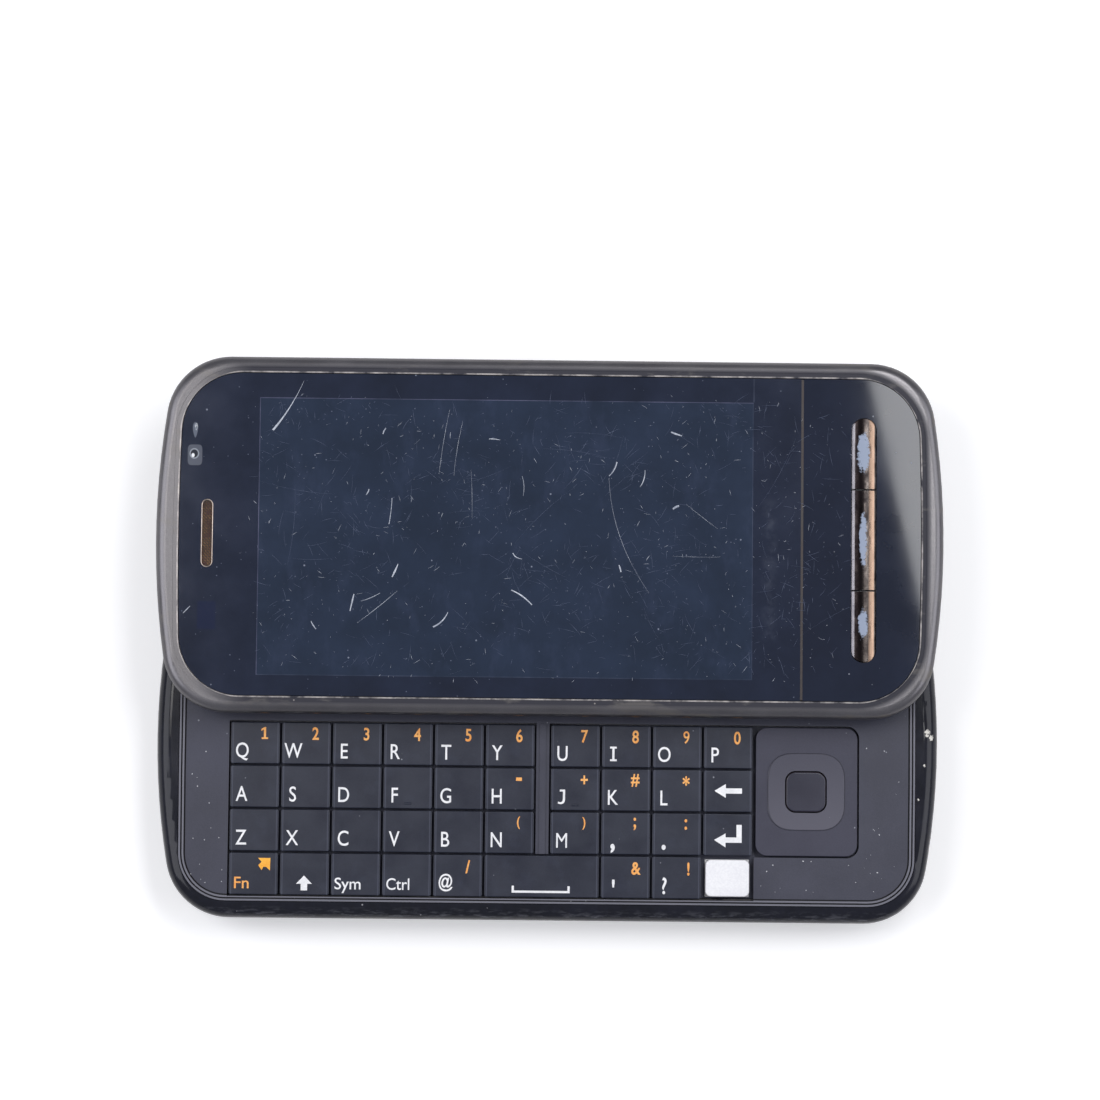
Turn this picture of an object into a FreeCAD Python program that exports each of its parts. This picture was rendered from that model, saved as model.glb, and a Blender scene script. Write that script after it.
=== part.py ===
import FreeCAD, Part
import math
import os

# A side-sliding phone with a letter keyboard, lying on its back, long side along X.
# Z points out of the screen. The origin is the centre of the flat back face.
# The model stands at rest with the slider open, as far up (+Y) as it goes.
# All sizes are millimetres.

Vector = FreeCAD.Vector

# Outer form of the two halves
LENGTH = 113.0
BASE_WIDTH = 52.2
SLIDER_WIDTH = 51.2
CORNER_RADIUS = 9.3
BASE_END_BOW = 105.0
SLIDER_END_BOW = 118.0
END_RIM = 3.3
SIDE_RIM = 2.4
DECK_CORNER = 6.9
DECK_END_BOW = 1500.0
WINDOW_CORNER = 8.7
WINDOW_END_BOW = 450.0

# Thicknesses in the base, from the back face upwards
COVER_THICKNESS = 0.9
FLOOR_THICKNESS = 0.7
BATTERY_THICKNESS = 5.2
BAY_WALL = 0.8
BAY_CEILING = 0.4
BOARD_THICKNESS = 0.8
MAT_THICKNESS = 0.4
MAT_TO_DECK = 0.4
DECK_THICKNESS = 1.2
RIM_STEP = 0.15

# Thicknesses in the slider, from its underside upwards
SLIDE_GAP = 0.25
REAR_COVER_THICKNESS = 1.8
TRAY_THICKNESS = 0.3
DISPLAY_THICKNESS = 2.8
WINDOW_THICKNESS = 1.0
LIP_STEP = 0.12

# Edge rounding
BASE_BACK_ROUND = 3.6
BASE_TOP_ROUND = 2.2
BEZEL_ROUND = 1.5
REAR_COVER_ROUND = 0.9
REAR_COVER_INSET = 0.3
BAND_WIDTH = 0.75
BAND_DROP = 0.08
LIP_WIDTH = 0.2

# Keyboard
KEY_PITCH_X = 7.35
KEY_PITCH_Y = 6.26
KEY_GROOVE = 0.3
KEY_DEPTH = 1.15
KEY_PROUD = 0.15
KEY_CORNER = 0.25
KEY_EDGE = 0.12
BLOCK_GAP = 2.07
BLOCK_SPLIT = 6
BLOCK_SHIFT = -0.46
RIDGE_BAND = 0.76
RIDGE_WIDTH = 0.26
RIDGE_PITCH = 0.48
RIDGE_DEPTH = 0.15
DECK_STRIP = 1.04
BAR_RIB_WIDTH = 0.9
PAD_SIZE = 3.0
BARE_PAD_X = 6.3
BARE_PAD_Y = 5.3
BARE_PAD_CORNER = 0.8
BARE_PAD_DROP = 0.05
NUB_LENGTH = 1.0
NUB_RADIUS = 0.2
NUB_MARGIN = 0.9

# Navigation pad
NAV_WIDTH = 15.16
NAV_ROWS = 3
NAV_CORNER = 1.8
NAV_GAP = 0.5
NAV_RING = 11.1
NAV_RING_CORNER = 3.3
NAV_RING_HEIGHT = 0.15
NAV_PROUD = 0.05
SELECT_SIZE = 5.76
SELECT_CORNER = 1.4
SELECT_GAP = 0.14

# Clearances
FIT = 0.1
OPENING_FIT = 0.1
PRESS_GAP = 0.35
RUNNING_GAP = 0.15

# Slide guides
GUIDE_X = 40.0
GUIDE_NECK = 1.4
GUIDE_HEAD = 2.8
GUIDE_HEAD_THICKNESS = 0.5
GUIDE_LIP = 0.45
SLOT_END_WALL = 3.0
STOP_GAP = 0.05

# Display and what lies beside it
DISPLAY_LENGTH = 75.5
DISPLAY_WIDTH = 42.5
DISPLAY_X = -6.25
DISPLAY_Y = -0.35
WINDOW_SEAM_X = 36.05
SEAM_WIDTH = 0.35
WINDOW_SHELF = 1.2
EARPIECE_X = -49.1
EARPIECE_SLOT_WIDTH = 1.7
EARPIECE_SLOT_LENGTH = 9.8
EARPIECE_BODY_WIDTH = 4.6
EARPIECE_BODY_LENGTH = 13.0
GRILLE_THICKNESS = 0.4
GRILLE_DROP = 0.25
FRONT_CAMERA_SIZE = 3.2
FRONT_CAMERA_X = -49.2
FRONT_CAMERA_Y = 12.5

# Front keys, in a pill-shaped row
FRONT_KEY_X = 44.9
FRONT_KEY_WIDTH = 3.4
FRONT_KEY_ROW = 34.9
FRONT_KEY_MIDDLE = 14.5
FRONT_KEY_GAP = 0.25
FRONT_KEY_FIT = 0.12
FRONT_KEY_CROWN = 0.2
FRONT_KEY_CROWN_RADIUS = 4.1
FRONT_KEY_FLANGE = 0.5
FLANGE_THICKNESS = 0.3
FRONT_BOARD_WIDTH = 9.5
FRONT_BOARD_THICKNESS = 0.8

# Side keys
SIDE_KEY_Z = 5.6
SIDE_KEY_HEIGHT = 2.4
SIDE_KEY_FIT = 0.2
SIDE_FLANGE_RIM = 0.6
SIDE_FLANGE_THICKNESS = 0.9
SIDE_SHOULDER = 1.5
SIDE_SHOULDER_GAP = 0.3
VOLUME_X = -31.0
VOLUME_LENGTH = 15.0
VOLUME_PROUD = 0.7
CAMERA_KEY_X = 39.0
CAMERA_KEY_LENGTH = 9.0
CAMERA_KEY_PROUD = 0.7
POWER_LENGTH = 7.0
POWER_PROUD = 0.05

# Battery and its cover
BATTERY_LENGTH = 54.6
BATTERY_WIDTH = 38.4
BATTERY_X = 9.5
BATTERY_PLAY = 0.3
BAY_PLAY = 0.4
COVER_LEFT = -33.0
COVER_RIGHT = 50.6
COVER_WIDTH = 41.6
COVER_CORNER = 5.0
THUMB_NOTCH_RADIUS = 4.0
THUMB_NOTCH_DEPTH = 1.2
HOOK_LENGTH = 3.0
HOOK_THICKNESS = 0.7
HOOK_HEIGHT = 0.8
HOOK_SPACING = 36.0

# Screws that hold the base together, under the battery cover
SCREW_LEFT_X = -28.0
SCREW_RIGHT_X = 44.6
SCREW_Y = 19.1
SCREW_RADIUS = 0.6
SCREW_HEAD_RADIUS = 1.1
SCREW_HEAD_THICKNESS = 0.6
SCREW_FIT = 0.05
HEAD_FIT = 0.15
BOSS_RADIUS = 1.9
CROSS_WIDTH = 0.35
CROSS_LENGTH = 1.3
CROSS_DEPTH = 0.3

# Sockets in the ends
SOCKET_RECESS = 0.15
SOCKET_Z = 4.4
JACK_Y = 13.5
JACK_BORE_RADIUS = 1.8
JACK_DEPTH = 12.6
JACK_COLLAR_RADIUS = 2.5
JACK_BODY_WIDTH = 6.0
JACK_BODY_HEIGHT = 5.2
CHARGER_Y = 9.0
CHARGER_BORE_RADIUS = 1.05
CHARGER_DEPTH = 7.0
CHARGER_COLLAR_RADIUS = 1.7
CHARGER_BODY = 4.6
DATA_Y = -10.0
DATA_WIDTH = 7.5
DATA_HEIGHT = 2.5
DATA_WALL = 0.3
DATA_LENGTH = 5.2
DATA_TONGUE_THICKNESS = 0.6
DATA_TONGUE_GAP = 0.45
SOCKET_BACK = 1.0

# Small parts on the board and in the back
REAR_CAMERA_X = -43.0
LENS_RING_RADIUS = 4.4
LENS_RING_WIDTH = 1.1
LENS_RING_THICKNESS = 0.6
LENS_RADIUS = 3.2
LENS_DROP = 0.25
LENS_THICKNESS = 0.5
BARREL_RADIUS = 3.0
CAMERA_BODY = 8.6
CAMERA_BODY_HEIGHT = 3.2
FLASH_Y = 8.0
FLASH_WIDTH = 3.4
FLASH_HEIGHT = 2.4
FLASH_THICKNESS = 1.4
SPEAKER_Y = -16.2
SPEAKER_LENGTH = 12.0
SPEAKER_WIDTH = 9.0
SPEAKER_HEIGHT = 3.4
GRILLE_SLOTS = 5
GRILLE_SLOT_LENGTH = 8.0
GRILLE_SLOT_WIDTH = 0.7
GRILLE_SLOT_PITCH = 1.4
SHIELD_X = -27.2
SHIELD_LENGTH = 13.0
SHIELD_WIDTH = 13.4
SHIELD_HEIGHT = 1.8
SHIELD_Y = -9.6
READER_Y = 6.5
READER_HEIGHT = 2.0
MOTOR_X = 43.5
MOTOR_Y = -10.5
MOTOR_LENGTH = 9.0
MOTOR_RADIUS = 2.0
MICROPHONE_X = 49.6
MICROPHONE_Y = -9.0
MICROPHONE_LENGTH = 3.6
MICROPHONE_WIDTH = 3.0
MICROPHONE_HEIGHT = 1.2
SOUND_SLOT_WIDTH = 2.0
SOUND_SLOT_HEIGHT = 0.6
BOARD_INSET = 0.4
SEAT_LEDGE = 1.0

# Levels and places that follow from the sizes above
cover_top = COVER_THICKNESS
floor_top = COVER_THICKNESS + FLOOR_THICKNESS
battery_bottom = cover_top + BATTERY_PLAY
battery_top = battery_bottom + BATTERY_THICKNESS
bay_ceiling_bottom = battery_top + BAY_PLAY / 2
board_bottom = bay_ceiling_bottom + BAY_CEILING + BAY_PLAY / 2
board_top = board_bottom + BOARD_THICKNESS
mat_top = board_top + MAT_THICKNESS
deck_bottom = mat_top + MAT_TO_DECK
deck_top = deck_bottom + DECK_THICKNESS
rim_top = deck_top + RIM_STEP
slider_bottom = rim_top + SLIDE_GAP
rear_cover_top = slider_bottom + REAR_COVER_THICKNESS
tray_top = rear_cover_top + TRAY_THICKNESS
display_top = tray_top + DISPLAY_THICKNESS
window_bottom = display_top + FIT * 3
window_top = window_bottom + WINDOW_THICKNESS
bezel_top = window_top + LIP_STEP

deck_length = LENGTH - 2 * END_RIM
deck_width = BASE_WIDTH - 2 * SIDE_RIM
cavity_length = deck_length - 2 * SEAT_LEDGE
cavity_width = deck_width - 2 * SEAT_LEDGE
cavity_sizes = (cavity_length, cavity_width, DECK_CORNER - SEAT_LEDGE, DECK_END_BOW - SEAT_LEDGE)
window_sizes = (LENGTH - 2 * END_RIM, SLIDER_WIDTH - 2 * SIDE_RIM, WINDOW_CORNER, WINDOW_END_BOW)

KEY_ROWS = (
    ("q", "w", "e", "r", "t", "y", "u", "i", "o", "p"),
    ("a", "s", "d", "f", "g", "h", "j", "k", "l", "backspace"),
    ("z", "x", "c", "v", "b", "n", "m", "comma", "period", "enter"),
    ("fn", "shift", "sym", "ctrl", "at", "space", "space", "apostrophe", "question", "bare"),
)
columns = len(KEY_ROWS[0])
rows = len(KEY_ROWS)
keyboard_length = columns * KEY_PITCH_X + BLOCK_GAP + NAV_WIDTH
keyboard_left = BLOCK_SHIFT - keyboard_length / 2
keyboard_bottom = RIDGE_BAND + OPENING_FIT - deck_width / 2
keyboard_top = keyboard_bottom + rows * KEY_PITCH_Y
nav_left = keyboard_left + columns * KEY_PITCH_X + BLOCK_GAP
nav_right = nav_left + NAV_WIDTH
nav_x = (nav_left + nav_right) / 2
nav_bottom = keyboard_top - NAV_ROWS * KEY_PITCH_Y
nav_y = (nav_bottom + keyboard_top) / 2
key_top = deck_top + KEY_PROUD
key_bottom = key_top - KEY_DEPTH
pad_top = key_bottom - PRESS_GAP

travel = SLIDER_WIDTH / 2 + keyboard_top + DECK_STRIP
slot_half = SLIDER_WIDTH / 2 - SLOT_END_WALL


def block(x0, x1, y0, y1, z0, z1):
    """A box between two corners."""
    return Part.makeBox(x1 - x0, y1 - y0, z1 - z0, Vector(x0, y0, z0))


def block_at(x, y, length, width, z0, z1):
    """A box centred on x and y."""
    return block(x - length / 2, x + length / 2, y - width / 2, y + width / 2, z0, z1)


def upright_edges(solid):
    """The edges that run straight up."""
    found = []
    for edge in solid.Edges:
        box = edge.BoundBox
        if box.XLength < 0.001 and box.YLength < 0.001:
            found.append(edge)
    return found


def edges_at(solid, z):
    """The edges that lie at one height."""
    found = []
    for edge in solid.Edges:
        box = edge.BoundBox
        if abs(box.ZMin - z) < 0.001 and abs(box.ZMax - z) < 0.001:
            found.append(edge)
    return found


def rounded_block(x0, x1, y0, y1, z0, z1, radius):
    """A box with rounded upright edges."""
    solid = block(x0, x1, y0, y1, z0, z1)
    return solid.makeFillet(radius, upright_edges(solid))


def pill(x, y, width, length, z0, z1):
    """A bar along Y with half-round ends."""
    radius = width / 2
    middle = block_at(x, y, width, length - width, z0, z1)
    solid = middle
    for end in (-1, 1):
        centre = Vector(x, y + end * (length / 2 - radius), z0)
        solid = solid.fuse(Part.makeCylinder(radius, z1 - z0, centre))
    return solid.removeSplitter()


def bowed_outline(length, width, corner, bow, z):
    """An outline with straight long sides and bowed short ends, centred on the origin."""
    half_length = length / 2
    half_width = width / 2
    bow_centre = half_length - bow
    corner_y = half_width - corner
    corner_x = bow_centre + math.sqrt((bow - corner) ** 2 - corner_y ** 2)
    turn = math.atan2(corner_y, corner_x - bow_centre)
    middle = (turn + math.pi / 2) / 2
    side = (corner_x, half_width)
    bend = (corner_x + corner * math.cos(middle), corner_y + corner * math.sin(middle))
    end = (bow_centre + bow * math.cos(turn), bow * math.sin(turn))

    def at(point, x_sign, y_sign):
        return Vector(point[0] * x_sign, point[1] * y_sign, z)

    edges = []
    for x_sign in (-1, 1):
        tip = Vector(half_length * x_sign, 0, z)
        upper = at(end, x_sign, 1)
        lower = at(end, x_sign, -1)
        edges.append(Part.Arc(lower, tip, upper).toShape())
        for y_sign in (-1, 1):
            start = at(side, x_sign, y_sign)
            through = at(bend, x_sign, y_sign)
            edges.append(Part.Arc(start, through, at(end, x_sign, y_sign)).toShape())
    for y_sign in (-1, 1):
        left = at(side, -1, y_sign)
        right = at(side, 1, y_sign)
        edges.append(Part.LineSegment(left, right).toShape())
    return Part.Wire(Part.__sortEdges__(edges))


def bowed_plate(length, width, corner, bow, z0, z1):
    """A plate with the bowed outline."""
    face = Part.Face(bowed_outline(length, width, corner, bow, z0))
    return face.extrude(Vector(0, 0, z1 - z0))


def inset_plate(sizes, inset, z0, z1):
    """The same plate with its whole outline moved inwards."""
    length, width, corner, bow = sizes
    return bowed_plate(length - 2 * inset, width - 2 * inset, corner - inset, bow - inset, z0, z1)


def base_end(y):
    """How far the base reaches along X at this height of its bowed end."""
    return LENGTH / 2 - BASE_END_BOW + math.sqrt(BASE_END_BOW ** 2 - y ** 2)


def column_edge(column):
    """The X of the grid line on a column's left."""
    gap = BLOCK_GAP if column >= BLOCK_SPLIT else 0
    return keyboard_left + column * KEY_PITCH_X + gap


def row_edge(row):
    """The Y of the grid line above a row."""
    return keyboard_top - row * KEY_PITCH_Y


def write(name, *solids):
    """Writes one node, which holds one or more separate solids."""
    shape = solids[0]
    if len(solids) > 1:
        shape = Part.makeCompound(list(solids))
    shape.exportStep(f"parts/{name}.step")
    print(name, len(shape.Solids), round(shape.Volume, 1), shape.isValid())


def lifted(shape):
    """The same shape at the slider's open place."""
    moved = shape.copy()
    moved.translate(Vector(0, travel, 0))
    return moved


def deck_opening():
    """The room in the deck for all keys, with the bar between the two blocks left standing."""
    fit = OPENING_FIT
    z0 = deck_bottom - 1
    z1 = rim_top + 1
    left = column_edge(0) - fit
    right = column_edge(columns - 1) + KEY_PITCH_X + fit
    low = keyboard_bottom - fit
    high = keyboard_top + fit
    opening = block(left, right, low, high, z0, z1)
    nav = rounded_block(right - NAV_WIDTH, nav_right + fit, nav_bottom - fit, high, z0, z1, NAV_CORNER)
    opening = opening.fuse(nav)
    bar_left = column_edge(BLOCK_SPLIT) - BLOCK_GAP + fit
    bar_right = column_edge(BLOCK_SPLIT) - fit
    bar = block(bar_left, bar_right, row_edge(NAV_ROWS) + fit, high, z0, z1)
    return opening.cut(bar)


def make_deck():
    """The matte keyboard plate: two fine ridges run round its edge and one rib up the bar."""
    sizes = (deck_length - 2 * FIT, deck_width - 2 * FIT, DECK_CORNER - FIT, DECK_END_BOW - FIT)
    deck = inset_plate(sizes, 0, deck_bottom, deck_top)
    ridge_top = deck_top + RIDGE_DEPTH
    groove_floor = deck_top - RIDGE_DEPTH
    for number in range(2):
        outer = number * RIDGE_PITCH
        inner = outer + RIDGE_WIDTH
        following = (number + 1) * RIDGE_PITCH
        ridge = inset_plate(sizes, outer, deck_top, ridge_top)
        ridge = ridge.cut(inset_plate(sizes, inner, deck_top, ridge_top))
        groove = inset_plate(sizes, inner, groove_floor, deck_top)
        groove = groove.cut(inset_plate(sizes, following, groove_floor, deck_top))
        deck = deck.fuse(ridge).cut(groove)
    rib_x = column_edge(BLOCK_SPLIT) - BLOCK_GAP / 2
    rib = block(rib_x - BAR_RIB_WIDTH / 2, rib_x + BAR_RIB_WIDTH / 2,
                row_edge(NAV_ROWS) + OPENING_FIT, keyboard_top, deck_top, key_top)
    return deck.cut(deck_opening()).fuse(rib).removeSplitter()


def key_cap(first, last, row):
    """One flat key with softened top edges, between two columns of the grid."""
    left = column_edge(first) + KEY_GROOVE / 2
    right = column_edge(last) + KEY_PITCH_X - KEY_GROOVE / 2
    high = row_edge(row) - KEY_GROOVE / 2
    low = row_edge(row + 1) + KEY_GROOVE / 2
    cap = rounded_block(left, right, low, high, key_bottom, key_top, KEY_CORNER)
    return cap.makeFillet(KEY_EDGE, edges_at(cap, key_top))


def finger_nub(column, row):
    """The small raised bar that fingers find on the two home keys."""
    x = column_edge(column) + KEY_PITCH_X / 2
    y = row_edge(row + 1) + NUB_MARGIN
    start = Vector(x - NUB_LENGTH / 2, y, key_top - NUB_RADIUS / 2)
    return Part.makeCylinder(NUB_RADIUS, NUB_LENGTH, start, Vector(1, 0, 0))


def make_keys():
    """Every letter and function key. The bare cell has no cap."""
    for row, names in enumerate(KEY_ROWS):
        for column, name in enumerate(names):
            repeated = column > 0 and names[column - 1] == name
            if name == "bare" or repeated:
                continue
            last = column + names.count(name) - 1
            cap = key_cap(column, last, row)
            if name in ("f", "j"):
                cap = cap.fuse(finger_nub(column, row)).removeSplitter()
            write(f"key_{name}", cap)


def make_mat():
    """The white silicone sheet with a press pad under each key and one bare raised pad."""
    mat = block(column_edge(0), nav_right, keyboard_bottom, keyboard_top, board_top, mat_top)
    mat = mat.common(inset_plate(cavity_sizes, FIT, board_top, mat_top))
    for row, names in enumerate(KEY_ROWS):
        for column, name in enumerate(names):
            x = column_edge(column) + KEY_PITCH_X / 2
            y = row_edge(row) - KEY_PITCH_Y / 2
            if name == "bare":
                top = key_top - BARE_PAD_DROP
                pad = rounded_block(x - BARE_PAD_X / 2, x + BARE_PAD_X / 2,
                                    y - BARE_PAD_Y / 2, y + BARE_PAD_Y / 2,
                                    mat_top, top, BARE_PAD_CORNER)
                pad = pad.makeFillet(NUB_RADIUS, edges_at(pad, top))
            else:
                pad = block_at(x, y, PAD_SIZE, PAD_SIZE, mat_top, pad_top)
            mat = mat.fuse(pad)
    mat = mat.fuse(block_at(nav_x, nav_y, PAD_SIZE, PAD_SIZE, mat_top, pad_top))
    reach = (NAV_RING + SELECT_SIZE) / 4
    for x_step, y_step in ((1, 0), (-1, 0), (0, 1), (0, -1)):
        x = nav_x + x_step * reach
        y = nav_y + y_step * reach
        mat = mat.fuse(block_at(x, y, PAD_SIZE / 2, PAD_SIZE / 2, mat_top, pad_top))
    return mat.removeSplitter()


def make_nav_tile():
    """The rocking tile with its raised square ring and the hole for the centre key."""
    top = deck_top + NAV_PROUD
    ring_top = top + NAV_RING_HEIGHT
    left = nav_left + NAV_GAP - KEY_GROOVE / 2
    right = nav_right - KEY_GROOVE / 2
    low = nav_bottom + KEY_GROOVE / 2
    high = keyboard_top - KEY_GROOVE / 2
    tile = rounded_block(left, right, low, high, key_bottom, top, NAV_CORNER - KEY_GROOVE / 2)
    tile = tile.makeFillet(KEY_EDGE, edges_at(tile, top))
    half = NAV_RING / 2
    ring = rounded_block(nav_x - half, nav_x + half, nav_y - half, nav_y + half,
                         key_bottom, ring_top, NAV_RING_CORNER)
    ring = ring.makeFillet(NAV_RING_HEIGHT * 0.95, edges_at(ring, ring_top))
    gap = SELECT_SIZE / 2 + SELECT_GAP
    hole = rounded_block(nav_x - gap, nav_x + gap, nav_y - gap, nav_y + gap,
                         key_bottom - 1, ring_top + 1, SELECT_CORNER + SELECT_GAP)
    return tile.fuse(ring).removeSplitter().cut(hole)


def make_nav_select():
    """The centre key of the navigation pad."""
    top = deck_top + NAV_PROUD + NAV_RING_HEIGHT
    half = SELECT_SIZE / 2
    key = rounded_block(nav_x - half, nav_x + half, nav_y - half, nav_y + half,
                        key_bottom, top, SELECT_CORNER)
    return key.makeFillet(KEY_EDGE * 2, edges_at(key, top))


def side_key_room(length, depth, proud):
    """The slot and the wider pocket behind it for a key in a wall that faces +Y at Y = 0."""
    z0 = SIDE_KEY_Z - SIDE_KEY_HEIGHT / 2 - SIDE_KEY_FIT
    z1 = SIDE_KEY_Z + SIDE_KEY_HEIGHT / 2 + SIDE_KEY_FIT
    wide = length + 2 * SIDE_KEY_FIT
    slot = block(-wide / 2, wide / 2, -depth, proud + 1, z0, z1)
    rim = SIDE_FLANGE_RIM + SIDE_KEY_FIT
    pocket = block(-wide / 2 - rim, wide / 2 + rim, -depth, -SIDE_SHOULDER, z0 - rim, z1 + rim)
    return slot.fuse(pocket)


def side_key(length, proud):
    """A wall key with a flange that keeps it in, its wall facing +Y at Y = 0."""
    z0 = SIDE_KEY_Z - SIDE_KEY_HEIGHT / 2
    z1 = SIDE_KEY_Z + SIDE_KEY_HEIGHT / 2
    flange_out = -SIDE_SHOULDER - SIDE_SHOULDER_GAP
    flange_in = flange_out - SIDE_FLANGE_THICKNESS
    bar = block(-length / 2, length / 2, flange_in, proud, z0, z1)
    outer = []
    for edge in bar.Edges:
        if edge.BoundBox.YMin > proud - 0.001:
            outer.append(edge)
    bar = bar.makeFillet(min(proud, SIDE_KEY_HEIGHT / 2) * 0.8, outer)
    rim = SIDE_FLANGE_RIM
    flange = block(-length / 2 - rim, length / 2 + rim, flange_in, flange_out, z0 - rim, z1 + rim)
    return bar.fuse(flange).removeSplitter()


def in_long_wall(shape, x):
    """Puts a wall key, or its room, in the base's upper long side."""
    moved = shape.copy()
    moved.translate(Vector(x, BASE_WIDTH / 2, 0))
    return moved


def in_end_wall(shape):
    """Puts a wall key, or its room, in the middle of the base's left end."""
    moved = shape.copy()
    moved.rotate(Vector(0, 0, 0), Vector(0, 0, 1), 90)
    moved.translate(Vector(-LENGTH / 2, 0, 0))
    return moved


def along_x(radius, x0, x1, y, z):
    """A round bar along X."""
    return Part.makeCylinder(radius, x1 - x0, Vector(x0, y, z), Vector(1, 0, 0))


def upright(radius, x, y, z0, z1):
    """A round bar along Z."""
    return Part.makeCylinder(radius, z1 - z0, Vector(x, y, z0))


def screw_places():
    """The four places of the screws and their bosses."""
    places = []
    for x in (SCREW_LEFT_X, SCREW_RIGHT_X):
        for y in (-SCREW_Y, SCREW_Y):
            places.append((x, y))
    return places


def speaker_slots():
    """The row of sound slots through the back."""
    slots = []
    for number in range(GRILLE_SLOTS):
        y = SPEAKER_Y + (number - (GRILLE_SLOTS - 1) / 2) * GRILLE_SLOT_PITCH
        half = GRILLE_SLOT_LENGTH / 2
        slots.append(block(REAR_CAMERA_X - half, REAR_CAMERA_X + half,
                           y - GRILLE_SLOT_WIDTH / 2, y + GRILLE_SLOT_WIDTH / 2, -1, floor_top + 1))
    return slots


def battery_bay(grow, z0, z1):
    """The battery's room, grown on all four sides."""
    return block_at(BATTERY_X, 0, BATTERY_LENGTH + 2 * grow, BATTERY_WIDTH + 2 * grow, z0, z1)


def socket_mouths():
    """The openings in the end walls for the sockets and the microphone."""
    reach = LENGTH / 2 + 1
    inner = cavity_length / 2 - CORNER_RADIUS
    jack = along_x(JACK_COLLAR_RADIUS + FIT, -reach, -inner, JACK_Y, SOCKET_Z)
    charger = along_x(CHARGER_COLLAR_RADIUS + FIT, inner, reach, CHARGER_Y, SOCKET_Z)
    data = block(-reach, -inner,
                 DATA_Y - DATA_WIDTH / 2 - FIT, DATA_Y + DATA_WIDTH / 2 + FIT,
                 SOCKET_Z - DATA_HEIGHT / 2 - FIT, SOCKET_Z + DATA_HEIGHT / 2 + FIT)
    sound_z = board_bottom - MICROPHONE_HEIGHT / 2
    sound = block(inner, reach,
                  MICROPHONE_Y - SOUND_SLOT_WIDTH / 2, MICROPHONE_Y + SOUND_SLOT_WIDTH / 2,
                  sound_z - SOUND_SLOT_HEIGHT / 2, sound_z + SOUND_SLOT_HEIGHT / 2)
    return [jack, charger, data, sound]


def make_base_frame():
    """The glossy housing of the lower half: rim, walls, floor, battery bay and screw bosses."""
    frame = bowed_plate(LENGTH, BASE_WIDTH, CORNER_RADIUS, BASE_END_BOW, 0, rim_top)
    frame = frame.makeFillet(BASE_BACK_ROUND, edges_at(frame, 0))
    frame = frame.makeFillet(BASE_TOP_ROUND, edges_at(frame, rim_top))
    frame = frame.cut(inset_plate(cavity_sizes, 0, floor_top, deck_bottom))
    pocket = bowed_plate(deck_length, deck_width, DECK_CORNER, DECK_END_BOW,
                         deck_bottom, rim_top + 1)
    frame = frame.cut(pocket)
    bay = battery_bay(BAY_PLAY + BAY_WALL, 0, bay_ceiling_bottom + BAY_CEILING)
    bay = bay.cut(block_at(0, 0, LENGTH, BASE_WIDTH, 0, floor_top))
    frame = frame.fuse(bay)
    for x, y in screw_places():
        frame = frame.fuse(upright(BOSS_RADIUS, x, y, floor_top, board_bottom))
    cuts = [battery_bay(BAY_PLAY, -1, bay_ceiling_bottom)]
    cuts.append(rounded_block(COVER_LEFT - FIT, COVER_RIGHT + FIT,
                              -COVER_WIDTH / 2 - FIT, COVER_WIDTH / 2 + FIT,
                              -1, cover_top, COVER_CORNER + FIT))
    for x, y in screw_places():
        cuts.append(upright(SCREW_HEAD_RADIUS + HEAD_FIT, x, y, 0, cover_top + SCREW_HEAD_THICKNESS))
        cuts.append(upright(SCREW_RADIUS + SCREW_FIT, x, y, 0, board_bottom))
    cuts.append(upright(LENS_RING_RADIUS + FIT, REAR_CAMERA_X, 0, -1, floor_top))
    cuts.append(block_at(REAR_CAMERA_X, FLASH_Y, FLASH_WIDTH + 2 * FIT, FLASH_HEIGHT + 2 * FIT,
                         -1, floor_top))
    cuts.extend(speaker_slots())
    cuts.extend(socket_mouths())
    wall = BASE_WIDTH / 2 - cavity_width / 2
    end_wall = LENGTH / 2 - cavity_length / 2
    cuts.append(in_long_wall(side_key_room(VOLUME_LENGTH, wall, VOLUME_PROUD), VOLUME_X))
    cuts.append(in_long_wall(side_key_room(CAMERA_KEY_LENGTH, wall, CAMERA_KEY_PROUD), CAMERA_KEY_X))
    cuts.append(in_end_wall(side_key_room(POWER_LENGTH, end_wall, POWER_PROUD)))
    for tool in cuts:
        frame = frame.cut(tool)
    return frame.removeSplitter()


def make_battery_cover():
    """The metal back cover, with a thumb notch and four hooks that reach into the bay."""
    cover = rounded_block(COVER_LEFT, COVER_RIGHT, -COVER_WIDTH / 2, COVER_WIDTH / 2,
                          0, cover_top, COVER_CORNER)
    notch_x = COVER_RIGHT + THUMB_NOTCH_RADIUS - THUMB_NOTCH_DEPTH
    cover = cover.cut(upright(THUMB_NOTCH_RADIUS, notch_x, 0, -1, cover_top + 1))
    for x_side in (-1, 1):
        for y_side in (-1, 1):
            x = BATTERY_X + x_side * HOOK_SPACING / 2
            outer = y_side * (BATTERY_WIDTH / 2 + BAY_PLAY - FIT)
            inner = outer - y_side * HOOK_THICKNESS
            low = min(outer, inner)
            high = max(outer, inner)
            hook = block(x - HOOK_LENGTH / 2, x + HOOK_LENGTH / 2, low, high,
                         cover_top, cover_top + HOOK_HEIGHT)
            cover = cover.fuse(hook)
    return cover.removeSplitter()


def make_battery():
    """The battery pack, with a step along two sides where the cover's hooks reach in."""
    pack = battery_bay(0, battery_bottom, battery_top)
    step = HOOK_THICKNESS + FIT
    step_top = cover_top + HOOK_HEIGHT + FIT
    for side in (-1, 1):
        edge = side * BATTERY_WIDTH / 2
        pack = pack.cut(block_at(BATTERY_X, edge, BATTERY_LENGTH, 2 * step, 0, step_top))
    return pack


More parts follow.
